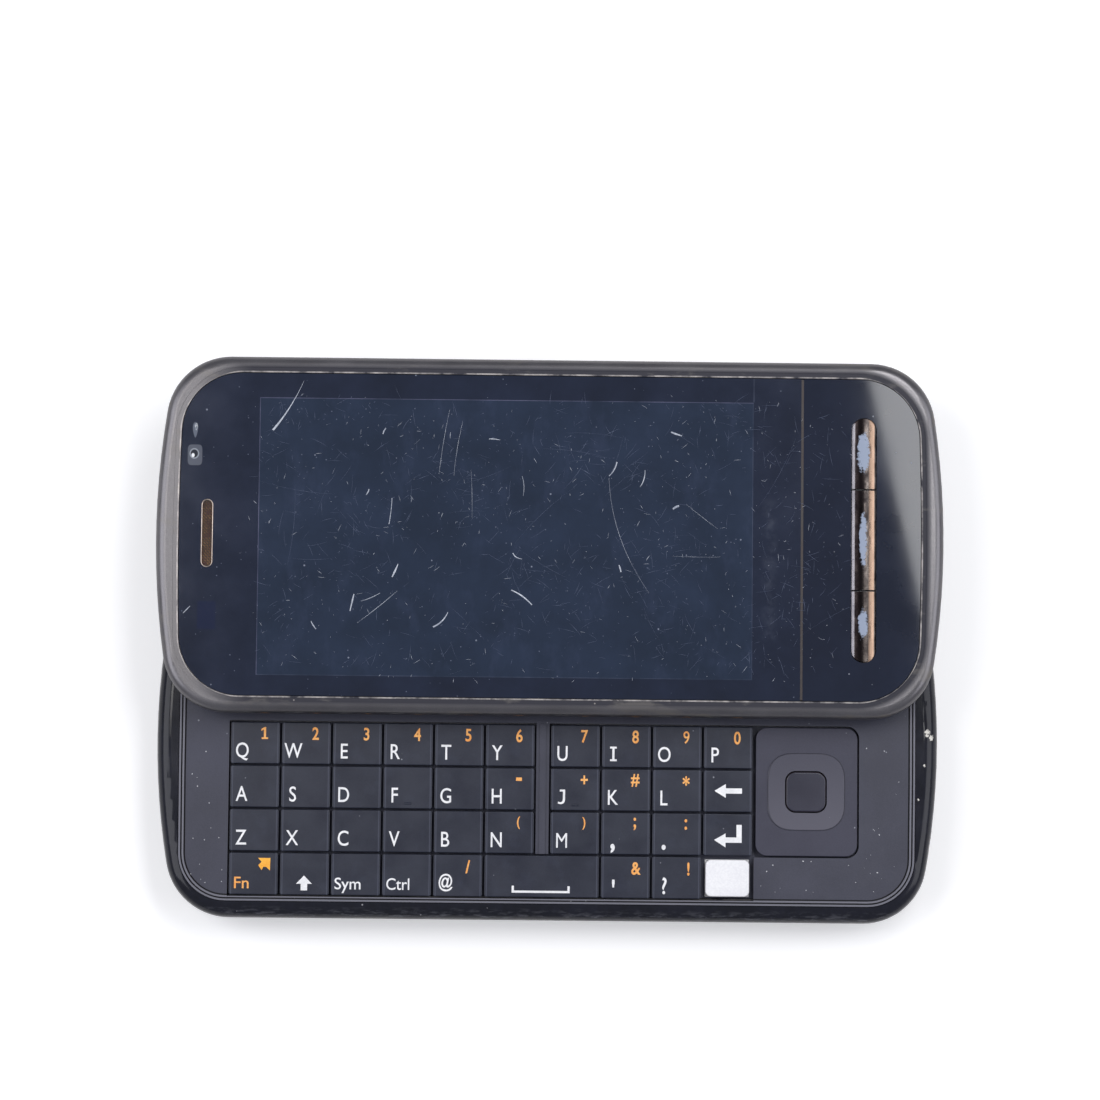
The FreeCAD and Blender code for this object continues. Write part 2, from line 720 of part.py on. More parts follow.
def make_screws():
    """Four cross-head screws, head down."""
    screws = []
    for x, y in screw_places():
        head_top = cover_top + SCREW_HEAD_THICKNESS
        head = upright(SCREW_HEAD_RADIUS, x, y, cover_top, head_top)
        shank = upright(SCREW_RADIUS, x, y, head_top, board_bottom)
        screw = head.fuse(shank).removeSplitter()
        for length, width in ((CROSS_LENGTH, CROSS_WIDTH), (CROSS_WIDTH, CROSS_LENGTH)):
            screw = screw.cut(block_at(x, y, length, width, cover_top, cover_top + CROSS_DEPTH))
        screws.append(screw)
    return screws


def round_socket(side, y, bore, depth, collar, body_width, body_height):
    """A plug socket: a collar through the end wall, a body behind it and a blind bore."""
    mouth = base_end(y) - SOCKET_RECESS
    wall_inside = cavity_length / 2 - CORNER_RADIUS / 4
    tail = mouth - depth - SOCKET_BACK
    solid = along_x(collar, wall_inside - FIT, mouth, y, SOCKET_Z)
    half_height = min(body_height / 2, SOCKET_Z - floor_top)
    solid = solid.fuse(block(tail, wall_inside, y - body_width / 2, y + body_width / 2,
                             SOCKET_Z - half_height, SOCKET_Z + half_height))
    solid = solid.cut(along_x(bore, mouth - depth, mouth + 1, y, SOCKET_Z)).removeSplitter()
    if side < 0:
        solid = solid.mirror(Vector(0, 0, 0), Vector(1, 0, 0))
    return solid


def data_socket():
    """The flat data socket: a folded metal shell and its contact tongue."""
    mouth = -base_end(DATA_Y) + SOCKET_RECESS
    back = mouth + DATA_LENGTH
    z0 = SOCKET_Z - DATA_HEIGHT / 2
    z1 = SOCKET_Z + DATA_HEIGHT / 2
    shell = block(mouth, back, DATA_Y - DATA_WIDTH / 2, DATA_Y + DATA_WIDTH / 2, z0, z1)
    shell = shell.cut(block(mouth - 1, back - DATA_WALL,
                            DATA_Y - DATA_WIDTH / 2 + DATA_WALL, DATA_Y + DATA_WIDTH / 2 - DATA_WALL,
                            z0 + DATA_WALL, z1 - DATA_WALL))
    tongue_top = z1 - DATA_WALL - DATA_TONGUE_GAP
    tongue = block(mouth + DATA_WALL, back - DATA_WALL,
                   DATA_Y - DATA_WIDTH / 4, DATA_Y + DATA_WIDTH / 4,
                   tongue_top - DATA_TONGUE_THICKNESS, tongue_top)
    return [shell, tongue]


def make_main_board():
    """The circuit board and everything soldered or pressed to it."""
    board = inset_plate(cavity_sizes, BOARD_INSET, board_bottom, board_top)
    shield = block_at(SHIELD_X, SHIELD_Y, SHIELD_LENGTH, SHIELD_WIDTH,
                      board_bottom - SHIELD_HEIGHT, board_bottom)
    reader = block_at(SHIELD_X, READER_Y, SHIELD_LENGTH, SHIELD_WIDTH,
                      board_bottom - READER_HEIGHT, board_bottom)
    jack = round_socket(-1, JACK_Y, JACK_BORE_RADIUS, JACK_DEPTH, JACK_COLLAR_RADIUS,
                        JACK_BODY_WIDTH, JACK_BODY_HEIGHT)
    charger = round_socket(1, CHARGER_Y, CHARGER_BORE_RADIUS, CHARGER_DEPTH, CHARGER_COLLAR_RADIUS,
                           CHARGER_BODY, CHARGER_BODY)
    speaker = block_at(REAR_CAMERA_X, SPEAKER_Y, SPEAKER_LENGTH, SPEAKER_WIDTH,
                       floor_top, floor_top + SPEAKER_HEIGHT)
    motor_start = Vector(MOTOR_X, MOTOR_Y - MOTOR_LENGTH / 2, board_bottom - MOTOR_RADIUS)
    motor = Part.makeCylinder(MOTOR_RADIUS, MOTOR_LENGTH, motor_start, Vector(0, 1, 0))
    microphone = block_at(MICROPHONE_X, MICROPHONE_Y, MICROPHONE_LENGTH, MICROPHONE_WIDTH,
                          board_bottom - MICROPHONE_HEIGHT, board_bottom)
    return [board, shield, reader, jack, charger, speaker, motor, microphone] + data_socket()


def make_rear_camera():
    """The camera behind the back wall: trim ring, lens, barrel, sensor block and flash."""
    x = REAR_CAMERA_X
    ring = upright(LENS_RING_RADIUS, x, 0, 0, LENS_RING_THICKNESS)
    ring = ring.cut(upright(LENS_RING_RADIUS - LENS_RING_WIDTH, x, 0, -1, LENS_RING_THICKNESS + 1))
    lens_top = LENS_DROP + LENS_THICKNESS
    lens = upright(LENS_RADIUS, x, 0, LENS_DROP, lens_top)
    body_bottom = board_bottom - CAMERA_BODY_HEIGHT
    barrel = upright(BARREL_RADIUS, x, 0, lens_top, body_bottom)
    seat = upright(LENS_RING_RADIUS, x, 0, LENS_RING_THICKNESS, floor_top)
    seat = seat.cut(upright(LENS_RADIUS, x, 0, 0, floor_top + 1))
    body = block_at(x, 0, CAMERA_BODY, CAMERA_BODY, body_bottom, board_bottom)
    flash = block_at(x, FLASH_Y, FLASH_WIDTH, FLASH_HEIGHT, 0, FLASH_THICKNESS)
    ring = ring.fuse(seat).removeSplitter()
    return [ring, lens, barrel.fuse(body).removeSplitter(), flash]


def guide_ends():
    """The low and high Y of the guides on the base, which stop the slider both ways."""
    low = travel - slot_half + STOP_GAP
    high = slot_half - STOP_GAP
    return low, high


def make_slide_rails():
    """Two steel guides of T section that stand on the deck under the slider."""
    low, high = guide_ends()
    head_bottom = slider_bottom + GUIDE_LIP + RUNNING_GAP
    rails = []
    for side in (-1, 1):
        x = side * GUIDE_X
        neck = block(x - GUIDE_NECK / 2, x + GUIDE_NECK / 2, low, high, deck_top, head_bottom)
        head = block(x - GUIDE_HEAD / 2, x + GUIDE_HEAD / 2, low, high,
                     head_bottom, head_bottom + GUIDE_HEAD_THICKNESS)
        rails.append(neck.fuse(head).removeSplitter())
    return rails


def make_slider_rear_cover():
    """The slider's back plate with the two closed slots that run on the guides."""
    sizes = (LENGTH, SLIDER_WIDTH, CORNER_RADIUS, SLIDER_END_BOW)
    plate = inset_plate(sizes, REAR_COVER_INSET, slider_bottom, rear_cover_top)
    plate = plate.makeFillet(REAR_COVER_ROUND, edges_at(plate, slider_bottom))
    lip_top = slider_bottom + GUIDE_LIP
    head_top = lip_top + GUIDE_HEAD_THICKNESS + 2 * RUNNING_GAP
    for side in (-1, 1):
        x = side * GUIDE_X
        neck = GUIDE_NECK / 2 + RUNNING_GAP
        head = GUIDE_HEAD / 2 + RUNNING_GAP
        plate = plate.cut(block(x - neck, x + neck, -slot_half, slot_half, slider_bottom - 1, head_top))
        plate = plate.cut(block(x - head, x + head, -slot_half, slot_half, lip_top, head_top))
    return plate


def make_slider_bezel():
    """The slider's satin frame: rounded outer band, narrow inner band and a fine lip."""
    bezel = bowed_plate(LENGTH, SLIDER_WIDTH, CORNER_RADIUS, SLIDER_END_BOW,
                        rear_cover_top, bezel_top)
    bezel = bezel.makeFillet(BEZEL_ROUND, edges_at(bezel, bezel_top))
    band = inset_plate(window_sizes, -BAND_WIDTH, bezel_top - BAND_DROP, bezel_top)
    band = band.cut(inset_plate(window_sizes, -LIP_WIDTH, bezel_top - BAND_DROP, bezel_top))
    bezel = bezel.cut(band)
    bezel = bezel.cut(inset_plate(window_sizes, 0, window_bottom, bezel_top + 1))
    bezel = bezel.cut(inset_plate(window_sizes, WINDOW_SHELF, rear_cover_top - 1, window_bottom))
    return bezel.removeSplitter()


def window_blank():
    """The whole front sheet before it is parted into touch window and key plate."""
    return inset_plate(window_sizes, FIT, window_bottom, window_top)


def make_touch_window():
    """The clear touch window, with the earpiece slot."""
    right = WINDOW_SEAM_X - SEAM_WIDTH / 2
    window = window_blank().cut(block(right, LENGTH, -SLIDER_WIDTH, SLIDER_WIDTH, 0, window_top + 1))
    slot = pill(EARPIECE_X, 0, EARPIECE_SLOT_WIDTH, EARPIECE_SLOT_LENGTH,
                window_bottom - 1, window_top + 1)
    return window.cut(slot)


def front_pill(grow, z0, z1):
    """The outline of the front key row, grown all round."""
    return pill(FRONT_KEY_X, 0, FRONT_KEY_WIDTH + 2 * grow, FRONT_KEY_ROW + 2 * grow, z0, z1)


def make_key_plate():
    """The plate at the slider's right end, with the opening for the front keys."""
    left = WINDOW_SEAM_X + SEAM_WIDTH / 2
    plate = window_blank().cut(block(-LENGTH, left, -SLIDER_WIDTH, SLIDER_WIDTH, 0, window_top + 1))
    return plate.cut(front_pill(FRONT_KEY_FIT, window_bottom - 1, window_top + 1))


def make_front_key(low, high):
    """One front key: a crowned bar with a flange under the plate."""
    flange_bottom = window_bottom - FIT - FLANGE_THICKNESS
    crown = window_top + FRONT_KEY_CROWN
    key = front_pill(0, flange_bottom, crown)
    arch = Part.makeCylinder(FRONT_KEY_CROWN_RADIUS, FRONT_KEY_ROW,
                             Vector(FRONT_KEY_X, -FRONT_KEY_ROW / 2, crown - FRONT_KEY_CROWN_RADIUS),
                             Vector(0, 1, 0))
    key = key.common(arch)
    key = key.fuse(front_pill(FRONT_KEY_FLANGE, flange_bottom, flange_bottom + FLANGE_THICKNESS))
    reach = FRONT_KEY_WIDTH
    part = block(FRONT_KEY_X - reach, FRONT_KEY_X + reach, low, high, flange_bottom, crown)
    return key.removeSplitter().common(part)


def make_front_keys():
    """The call, menu and end keys, from top to bottom."""
    seam = FRONT_KEY_MIDDLE / 2
    far = FRONT_KEY_ROW
    half_gap = FRONT_KEY_GAP / 2
    write("call_key", lifted(make_front_key(seam + half_gap, far)))
    write("menu_key", lifted(make_front_key(-seam + half_gap, seam - half_gap)))
    write("end_key", lifted(make_front_key(-far, -seam - half_gap)))


def make_display_module():
    """What the slider holds: tray, display, key board, earpiece, its grille and a camera."""
    tray = inset_plate(window_sizes, WINDOW_SHELF + 3 * FIT, rear_cover_top, tray_top)
    display = block_at(DISPLAY_X, DISPLAY_Y, DISPLAY_LENGTH, DISPLAY_WIDTH, tray_top, display_top)
    board_high = window_bottom - FIT - FLANGE_THICKNESS - PRESS_GAP
    board_low = board_high - FRONT_BOARD_THICKNESS
    row = FRONT_KEY_ROW + 2 * FRONT_KEY_FLANGE
    spacer = block_at(FRONT_KEY_X, 0, FRONT_BOARD_WIDTH, row, tray_top, board_low)
    key_board = block_at(FRONT_KEY_X, 0, FRONT_BOARD_WIDTH, row, board_low, board_high)
    earpiece = block_at(EARPIECE_X, 0, EARPIECE_BODY_WIDTH, EARPIECE_BODY_LENGTH,
                        tray_top, display_top)
    grille_top = window_top - GRILLE_DROP
    grille = pill(EARPIECE_X, 0, EARPIECE_SLOT_WIDTH - 2 * FIT, EARPIECE_SLOT_LENGTH - 2 * FIT,
                  grille_top - GRILLE_THICKNESS, grille_top)
    camera = block_at(FRONT_CAMERA_X, FRONT_CAMERA_Y, FRONT_CAMERA_SIZE, FRONT_CAMERA_SIZE,
                      tray_top, display_top)
    return [lifted(solid) for solid in (tray, display, spacer, key_board, earpiece, grille, camera)]


def main():
    os.makedirs("parts", exist_ok=True)
    write("base_frame", make_base_frame())
    write("keypad_deck", make_deck())
    write("keypad_mat", make_mat())
    write("main_board", *make_main_board())
    write("battery", make_battery())
    write("battery_cover", make_battery_cover())
    write("screws", *make_screws())
    write("rear_camera", *make_rear_camera())
    write("slide_rails", *make_slide_rails())
    write("nav_tile", make_nav_tile())
    write("nav_select", make_nav_select())
    write("volume_key", in_long_wall(side_key(VOLUME_LENGTH, VOLUME_PROUD), VOLUME_X))
    write("camera_key", in_long_wall(side_key(CAMERA_KEY_LENGTH, CAMERA_KEY_PROUD), CAMERA_KEY_X))
    write("power_key", in_end_wall(side_key(POWER_LENGTH, POWER_PROUD)))
    write("slider_rear_cover", lifted(make_slider_rear_cover()))
    write("slider_bezel", lifted(make_slider_bezel()))
    write("touch_window", lifted(make_touch_window()))
    write("key_plate", lifted(make_key_plate()))
    write("display_module", *make_display_module())
    make_front_keys()
    make_keys()
    print("slider travel", round(travel, 3), "total height", round(window_top + FRONT_KEY_CROWN, 3))
    print("nav centre", round(nav_x, 3), round(nav_y, 3), "key bottom", round(key_bottom, 3))


main()
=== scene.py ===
# %% [markdown]
# A phone that slides open sideways: glass and bezel above, letter keys below.
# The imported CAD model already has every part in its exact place, so this lesson never
# moves or reshapes one. It gives each part the finish that the real part has, and adds
# what is too thin for CAD: printed letters, a woven earpiece screen, scratches and dust.

# %% Load the frame
import math
import random

import bmesh
import bpy
from mathutils import Matrix, Vector


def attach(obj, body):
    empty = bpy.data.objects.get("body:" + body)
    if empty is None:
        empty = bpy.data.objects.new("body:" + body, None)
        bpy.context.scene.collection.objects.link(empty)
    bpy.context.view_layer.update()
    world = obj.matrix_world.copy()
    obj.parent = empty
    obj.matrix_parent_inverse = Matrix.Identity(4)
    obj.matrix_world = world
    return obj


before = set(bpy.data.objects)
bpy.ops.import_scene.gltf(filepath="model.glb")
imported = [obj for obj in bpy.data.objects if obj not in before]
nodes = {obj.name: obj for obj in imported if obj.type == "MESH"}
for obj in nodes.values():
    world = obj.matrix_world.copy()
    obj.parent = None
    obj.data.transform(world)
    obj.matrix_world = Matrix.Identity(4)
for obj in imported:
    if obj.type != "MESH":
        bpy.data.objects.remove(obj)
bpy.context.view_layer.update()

# %% [markdown]
# Everything is in metres, and a phone is measured in millimetres, so MM turns one into
# the other. Colours are written as on a screen and turned to linear light once, here.
# One small function adds a node, with its settings, its values and its links together.
# Where a node works on what others give, its tree needn't be named: it's found from them.

# %% Units, colours and one way to add a node
MM = 0.001


def linear(hex_colour):
    """A screen colour such as #393d49 as linear red, green, blue and alpha."""
    channels = []
    for start in (1, 3, 5):
        value = int(hex_colour[start:start + 2], 16) / 255
        channels.append(value / 12.92 if value <= 0.04045 else ((value + 0.055) / 1.055) ** 2.4)
    return (*channels, 1.0)


def add_node(tree, kind, inputs=None, **settings):
    """Adds a node. settings are its properties; each input gets a value or another node's output."""
    node = tree.nodes.new(kind)
    for name, value in settings.items():
        setattr(node, name, value)
    for key, value in (inputs or {}).items():
        if isinstance(value, bpy.types.NodeSocket):
            tree.links.new(value, node.inputs[key])
        else:
            node.inputs[key].default_value = value
    return node


def made_from(kind, inputs, **settings):
    """Adds a node to the tree that its inputs come from, and gives its outputs."""
    source = next(value for value in inputs.values() if isinstance(value, bpy.types.NodeSocket))
    return add_node(source.id_data, kind, inputs, **settings).outputs


def point(x, y, z):
    """A point given in millimetres, in metres."""
    return Vector((x * MM, y * MM, z * MM))


def finished(work, name):
    """A plain mesh from an editable one, which is then let go."""
    mesh = bpy.data.meshes.new(name)
    work.to_mesh(mesh)
    work.free()
    return mesh


print("dark key plastic in linear light:", [round(c, 4) for c in linear("#393d49")[:3]])

# %% [markdown]
# The photograph looks almost straight down at the phone from half a metre away. The
# camera's direction and lens were found by matching the key grid and both outlines.

# %% Camera
CAMERA_YAW = math.radians(-0.5)
CAMERA_PITCH = math.radians(4.2)
CAMERA_ROLL = math.radians(0.6)
CAMERA_TARGET = point(0.01, 27.2, 13)
CAMERA_DISTANCE = 500 * MM
SENSOR_WIDTH = 36.0
FOCAL_PIXELS = 3469.7
PHOTO_PIXELS = 1100

away = Vector((math.sin(CAMERA_YAW) * math.cos(CAMERA_PITCH), -math.sin(CAMERA_PITCH),
               math.cos(CAMERA_YAW) * math.cos(CAMERA_PITCH)))
level_right = Vector((math.cos(CAMERA_YAW), 0, -math.sin(CAMERA_YAW)))
level_up = away.cross(level_right)
right = math.cos(CAMERA_ROLL) * level_right + math.sin(CAMERA_ROLL) * level_up
up = -math.sin(CAMERA_ROLL) * level_right + math.cos(CAMERA_ROLL) * level_up
camera_data = bpy.data.cameras.new("camera")
camera_data.sensor_width = SENSOR_WIDTH
camera_data.lens = FOCAL_PIXELS * SENSOR_WIDTH / PHOTO_PIXELS
camera_data.clip_start = 0.01
camera = bpy.data.objects.new("camera", camera_data)
bpy.context.scene.collection.objects.link(camera)
turn = Matrix((right, up, away)).transposed().to_4x4()
camera.matrix_world = Matrix.Translation(CAMERA_TARGET + away * CAMERA_DISTANCE) @ turn
bpy.context.scene.camera = camera


def seen_at(pixel_x, pixel_y, level):
    """The place at a level, in millimetres, that the photograph shows at a pixel."""
    across_view = (pixel_x - PHOTO_PIXELS / 2) / FOCAL_PIXELS
    up_view = (PHOTO_PIXELS / 2 - pixel_y) / FOCAL_PIXELS
    ray = right * across_view + up * up_view - away
    eye = CAMERA_TARGET + away * CAMERA_DISTANCE
    return (eye + ray * ((level * MM - eye.z) / ray.z)) / MM


print("lens", round(camera_data.lens, 2), "mm, camera at", [round(v, 4) for v in camera.location])

# %% [markdown]
# The phone lies on a pale floor in a plain studio. A white backdrop would light the
# black gloss far too much, so the world is white only where the camera looks past the
# phone, and a calmer grey where the phone mirrors it. The floor keeps the phone's shadow.

# %% Floor and world
scene = bpy.context.scene
scene.view_settings.view_transform = "Standard"
FLOOR_HALF_SIZE = 1.6
FLOOR_HEIGHT = -0.02 * MM
AMBIENT_LIGHT = 0.27
MIRRORED_SKY = 0.46
PAPER_GLOW = 0.30

world = bpy.data.worlds.new("studio")
scene.world = world
world.use_nodes = True
tree = world.node_tree
tree.nodes.clear()
ray = add_node(tree, "ShaderNodeLightPath")
plain = add_node(tree, "ShaderNodeBackground", {"Color": linear("#f6f8ff"), "Strength": AMBIENT_LIGHT})
mirrored = add_node(tree, "ShaderNodeBackground", {"Color": linear("#e4e8f6"), "Strength": MIRRORED_SKY})
seen = add_node(tree, "ShaderNodeBackground", {"Color": linear("#ffffff"), "Strength": 1.0})
glossy_mix = add_node(tree, "ShaderNodeMixShader", {
    0: ray.outputs["Is Glossy Ray"], 1: plain.outputs[0], 2: mirrored.outputs[0]})
clear_ray = made_from("ShaderNodeMath",
                      {0: ray.outputs["Is Camera Ray"], 1: ray.outputs["Is Transmission Ray"]},
                      operation="MAXIMUM")[0]
seen_mix = add_node(tree, "ShaderNodeMixShader", {
    0: clear_ray, 1: glossy_mix.outputs[0], 2: seen.outputs[0]})
add_node(tree, "ShaderNodeOutputWorld", {"Surface": seen_mix.outputs[0]})

floor_mesh = bpy.data.meshes.new("floor")
corners = [(-1, -1), (1, -1), (1, 1), (-1, 1)]
floor_mesh.from_pydata([(x * FLOOR_HALF_SIZE, y * FLOOR_HALF_SIZE, FLOOR_HEIGHT) for x, y in corners],
                       [], [(0, 1, 2, 3)])
floor = bpy.data.objects.new("floor", floor_mesh)
scene.collection.objects.link(floor)
paper = bpy.data.materials.new("matte_white_paper")
paper.use_nodes = True
tree = paper.node_tree
tree.nodes.clear()
ray = add_node(tree, "ShaderNodeLightPath")
lit = add_node(tree, "ShaderNodeBsdfDiffuse", {"Color": linear("#efeff0")})
glow = add_node(tree, "ShaderNodeEmission", {"Color": linear("#ffffff"), "Strength": PAPER_GLOW})
lifted = add_node(tree, "ShaderNodeAddShader", {0: lit.outputs[0], 1: glow.outputs[0]})
seen_paper = add_node(tree, "ShaderNodeMixShader", {
    0: ray.outputs["Is Camera Ray"], 1: lit.outputs[0], 2: lifted.outputs[0]})
add_node(tree, "ShaderNodeOutputMaterial", {"Surface": seen_paper.outputs[0]})
floor_mesh.materials.append(paper)
print("floor half size", FLOOR_HALF_SIZE, "m")

# %% [markdown]
# Two soft panels at the left and right light the ends of the bezel and leave its long
# sides dark, as in the photograph. A softbox high on the left brightens the satin left
# end but stays outside what the glass mirrors. A small one high on the right is the one
# that the glossy strip round the three keys mirrors, with a slanting edge.

# %% Lamps
def soft_panel(name, place, aim, size, radiance, tint="#ffffff"):
    """A rectangular lamp whose surface has the given brightness, where 1 is white."""
    lamp = bpy.data.lights.new(name, "AREA")
    lamp.shape = "RECTANGLE"
    lamp.size, lamp.size_y = size
    lamp.energy = radiance * math.pi * size[0] * size[1]
    lamp.color = linear(tint)[:3]
    holder = bpy.data.objects.new(name, lamp)
    scene.collection.objects.link(holder)
    direction = Vector(aim) - Vector(place)
    holder.matrix_world = Matrix.Translation(place) @ direction.to_track_quat("-Z", "Y").to_matrix().to_4x4()
    return holder


HIGH_LEFT_PLACE = (-0.160, 0.085, 0.42)
SLANT = math.radians(13.0)
SOFTBOX_BELOW_EDGE = 0.045
phone_middle = point(0, 14, 8)
soft_panel("left_panel", (-0.55, 0.02, 0.46), phone_middle, (0.62, 0.50), 2.5, "#f8f9ff")
soft_panel("right_panel", (0.58, 0.02, 0.40), phone_middle, (0.62, 0.44), 2.2, "#f8f9ff")
left_box = soft_panel("high_left_softbox", (0, 0, 1), (0, 0, 0), (0.11, 0.14), 6.5, "#fffdfa")
left_box.matrix_world = Matrix.Translation(HIGH_LEFT_PLACE)
softbox_edge = Vector((0.093, 0.0716, 0.4166))
softbox_size = (0.12, 0.30)
softbox = soft_panel("high_softbox", (0, 0, 1), (0, 0, 0), softbox_size, 7.0)
across_box = Vector((math.cos(SLANT), math.sin(SLANT), 0))
along_box = Vector((-math.sin(SLANT), math.cos(SLANT), 0))
softbox_middle = (softbox_edge + across_box * (softbox_size[0] / 2)
                  + along_box * (softbox_size[1] / 2 - SOFTBOX_BELOW_EDGE))
softbox.matrix_world = Matrix.Translation(softbox_middle) @ Matrix.Rotation(SLANT, 4, "Z")

# %% [markdown]
# Moulded plastic is never one flat colour. The steel mould leaves a fine grain, thumbs
# polish some places and dull others, and paint is a little thinner on edges. One recipe
# gives grain, slow patches and relief, and each finish below sets its own sizes.

# %% A recipe for moulded and painted surfaces
SLOW_SHARE = 0.55


def new_finish(name, uniform):
    """A material with one Principled shader; uniform holds values that are the same all over."""
    material = bpy.data.materials.new(name)
    material.use_nodes = True
    tree = material.node_tree
    tree.nodes.clear()
    shader = add_node(tree, "ShaderNodeBsdfPrincipled", uniform)
    add_node(tree, "ShaderNodeOutputMaterial", {"Surface": shader.outputs["BSDF"]})
    where = add_node(tree, "ShaderNodeTexCoord").outputs["Object"]
    return material, shader, where


def feed(shader, name, value):
    """Links a value to one of the shader's inputs."""
    shader.id_data.links.new(value, shader.inputs[name])


def grained(name, uniform, size, depth, colours, roughness, patch=9.0, stretch=(1, 1, 1)):
    """A material with grain of a size and depth in mm, between two colours and two roughnesses."""
    material, shader, where = new_finish(name, uniform)
    drawn = where
    if stretch != (1, 1, 1):
        drawn = made_from("ShaderNodeMapping", {"Vector": where, "Scale": stretch})[0]
    fine = made_from("ShaderNodeTexNoise",
                     {"Vector": drawn, "Scale": 1 / (size * MM), "Detail": 3.0, "Roughness": 0.6})[0]
    slow = made_from("ShaderNodeTexNoise",
                     {"Vector": drawn, "Scale": 1 / (patch * MM), "Detail": 5.0, "Roughness": 0.55})[0]
    both = made_from("ShaderNodeMix", {0: SLOW_SHARE, 2: fine, 3: slow})[0]
    share = made_from("ShaderNodeMapRange", {0: both, 1: 0.38, 2: 0.62, 3: 0.0, 4: 1.0})[0]
    relief = made_from("ShaderNodeBump", {"Height": fine, "Strength": 1.0, "Distance": depth * MM})[0]
    feed(shader, "Base Color",
         made_from("ShaderNodeMix", {0: share, 6: linear(colours[0]), 7: linear(colours[1])},
                   data_type="RGBA")[2])
    feed(shader, "Roughness",
         made_from("ShaderNodeMapRange", {0: slow, 1: 0.35, 2: 0.65, 3: roughness[0], 4: roughness[1]})[0])
    feed(shader, "Normal", relief)
    return material, shader, where


def add_marks(shader, share, colour, rough=None):
    """Lays marks over a finish: share says how much of them shows at each place."""
    below = shader.inputs["Base Color"].links[0].from_socket
    feed(shader, "Base Color",
         made_from("ShaderNodeMix", {0: share, 6: below, 7: linear(colour)}, data_type="RGBA")[2])
    if rough is not None:
        old = shader.inputs["Roughness"].links[0].from_socket
        feed(shader, "Roughness", made_from("ShaderNodeMix", {0: share, 2: old, 3: rough})[0])


def metal_outside(shader, mask, metallic=1.0):
    """Makes a finish metal except where a mask holds."""
    feed(shader, "Metallic", made_from("ShaderNodeMix", {0: mask, 2: metallic, 3: 0.0})[0])


def dress(material, *names):
    """Puts a finish on parts of the frame."""
    for name in names:
        nodes[name].material_slots[0].material = material
    print(material.name, "on", len(names), "part(s)")


# %% [markdown]
# Specks of dust and small nicks are scattered dots. A Voronoi texture gives one random
# point per cell, and only those cells whose random number is high get a dot, so the
# dots stay apart and differ in size.

# %% Dust specks and rubbed streaks as masks
def specks(where, cell, size, amount):
    """A mask of scattered dots: one place per cell (mm), dots up to size (mm), in part of the cells."""
    tree = where.id_data
    dots = add_node(tree, "ShaderNodeTexVoronoi", {"Vector": where, "Scale": 1 / (cell * MM)})
    pick = add_node(tree, "ShaderNodeSeparateColor", {0: dots.outputs["Color"]})
    reach = made_from("ShaderNodeMapRange",
                      {0: pick.outputs[0], 1: 1 - amount, 2: 1.0, 3: 0.0, 4: size / cell})[0]
    return made_from("ShaderNodeMapRange",
                     {0: made_from("ShaderNodeMath", {0: reach, 1: dots.outputs["Distance"]},
                                   operation="SUBTRACT")[0], 1: 0.0, 2: 0.04, 3: 0.0, 4: 1.0})[0]


def rubbed(where, size, low, high, stretch=(1, 1, 1)):
    """A mask of cloudy patches; stretch makes them long in one direction."""
    drawn = made_from("ShaderNodeMapping", {"Vector": where, "Scale": stretch})[0]
    return made_from("ShaderNodeMapRange",
                     {0: made_from("ShaderNodeTexNoise",
                                   {"Vector": drawn, "Scale": 1 / (size * MM), "Detail": 8.0,
                                    "Roughness": 0.65})[0], 1: low, 2: high, 3: 0.0, 4: 1.0})[0]


def times(*values):
    """The product of several masks."""
    product = values[0]
    for value in values[1:]:
        product = made_from("ShaderNodeMath", {0: product, 1: value}, operation="MULTIPLY")[0]
    return product


def height_band(where, low, high, edge=0.01):
    """A mask that is 1 between two heights in millimetres, with a short ramp at each."""
    z = made_from("ShaderNodeSeparateXYZ", {0: where})[2]
    above = made_from("ShaderNodeMapRange",
                      {0: z, 1: (low - edge) * MM, 2: (low + edge) * MM, 3: 0.0, 4: 1.0})[0]
    below = made_from("ShaderNodeMapRange",
                      {0: z, 1: (high - edge) * MM, 2: (high + edge) * MM, 3: 1.0, 4: 0.0})[0]
    return times(above, below)


print("mask recipes: specks, rubbed, height band")

# %% [markdown]
# The window's outline has straight long sides, bowed ends and round corners. The finish
# of the bezel and the window changes with the distance from that line, so it is worked
# out once: negative inside the window, positive on the bezel, in metres.

# %% Distance from the window's outline
SLIDER_Y = 28.84
WINDOW_HALF_LENGTH = 53.2
WINDOW_HALF_WIDTH = 23.2
WINDOW_CORNER = 8.7
WINDOW_END_BOW = 450.0


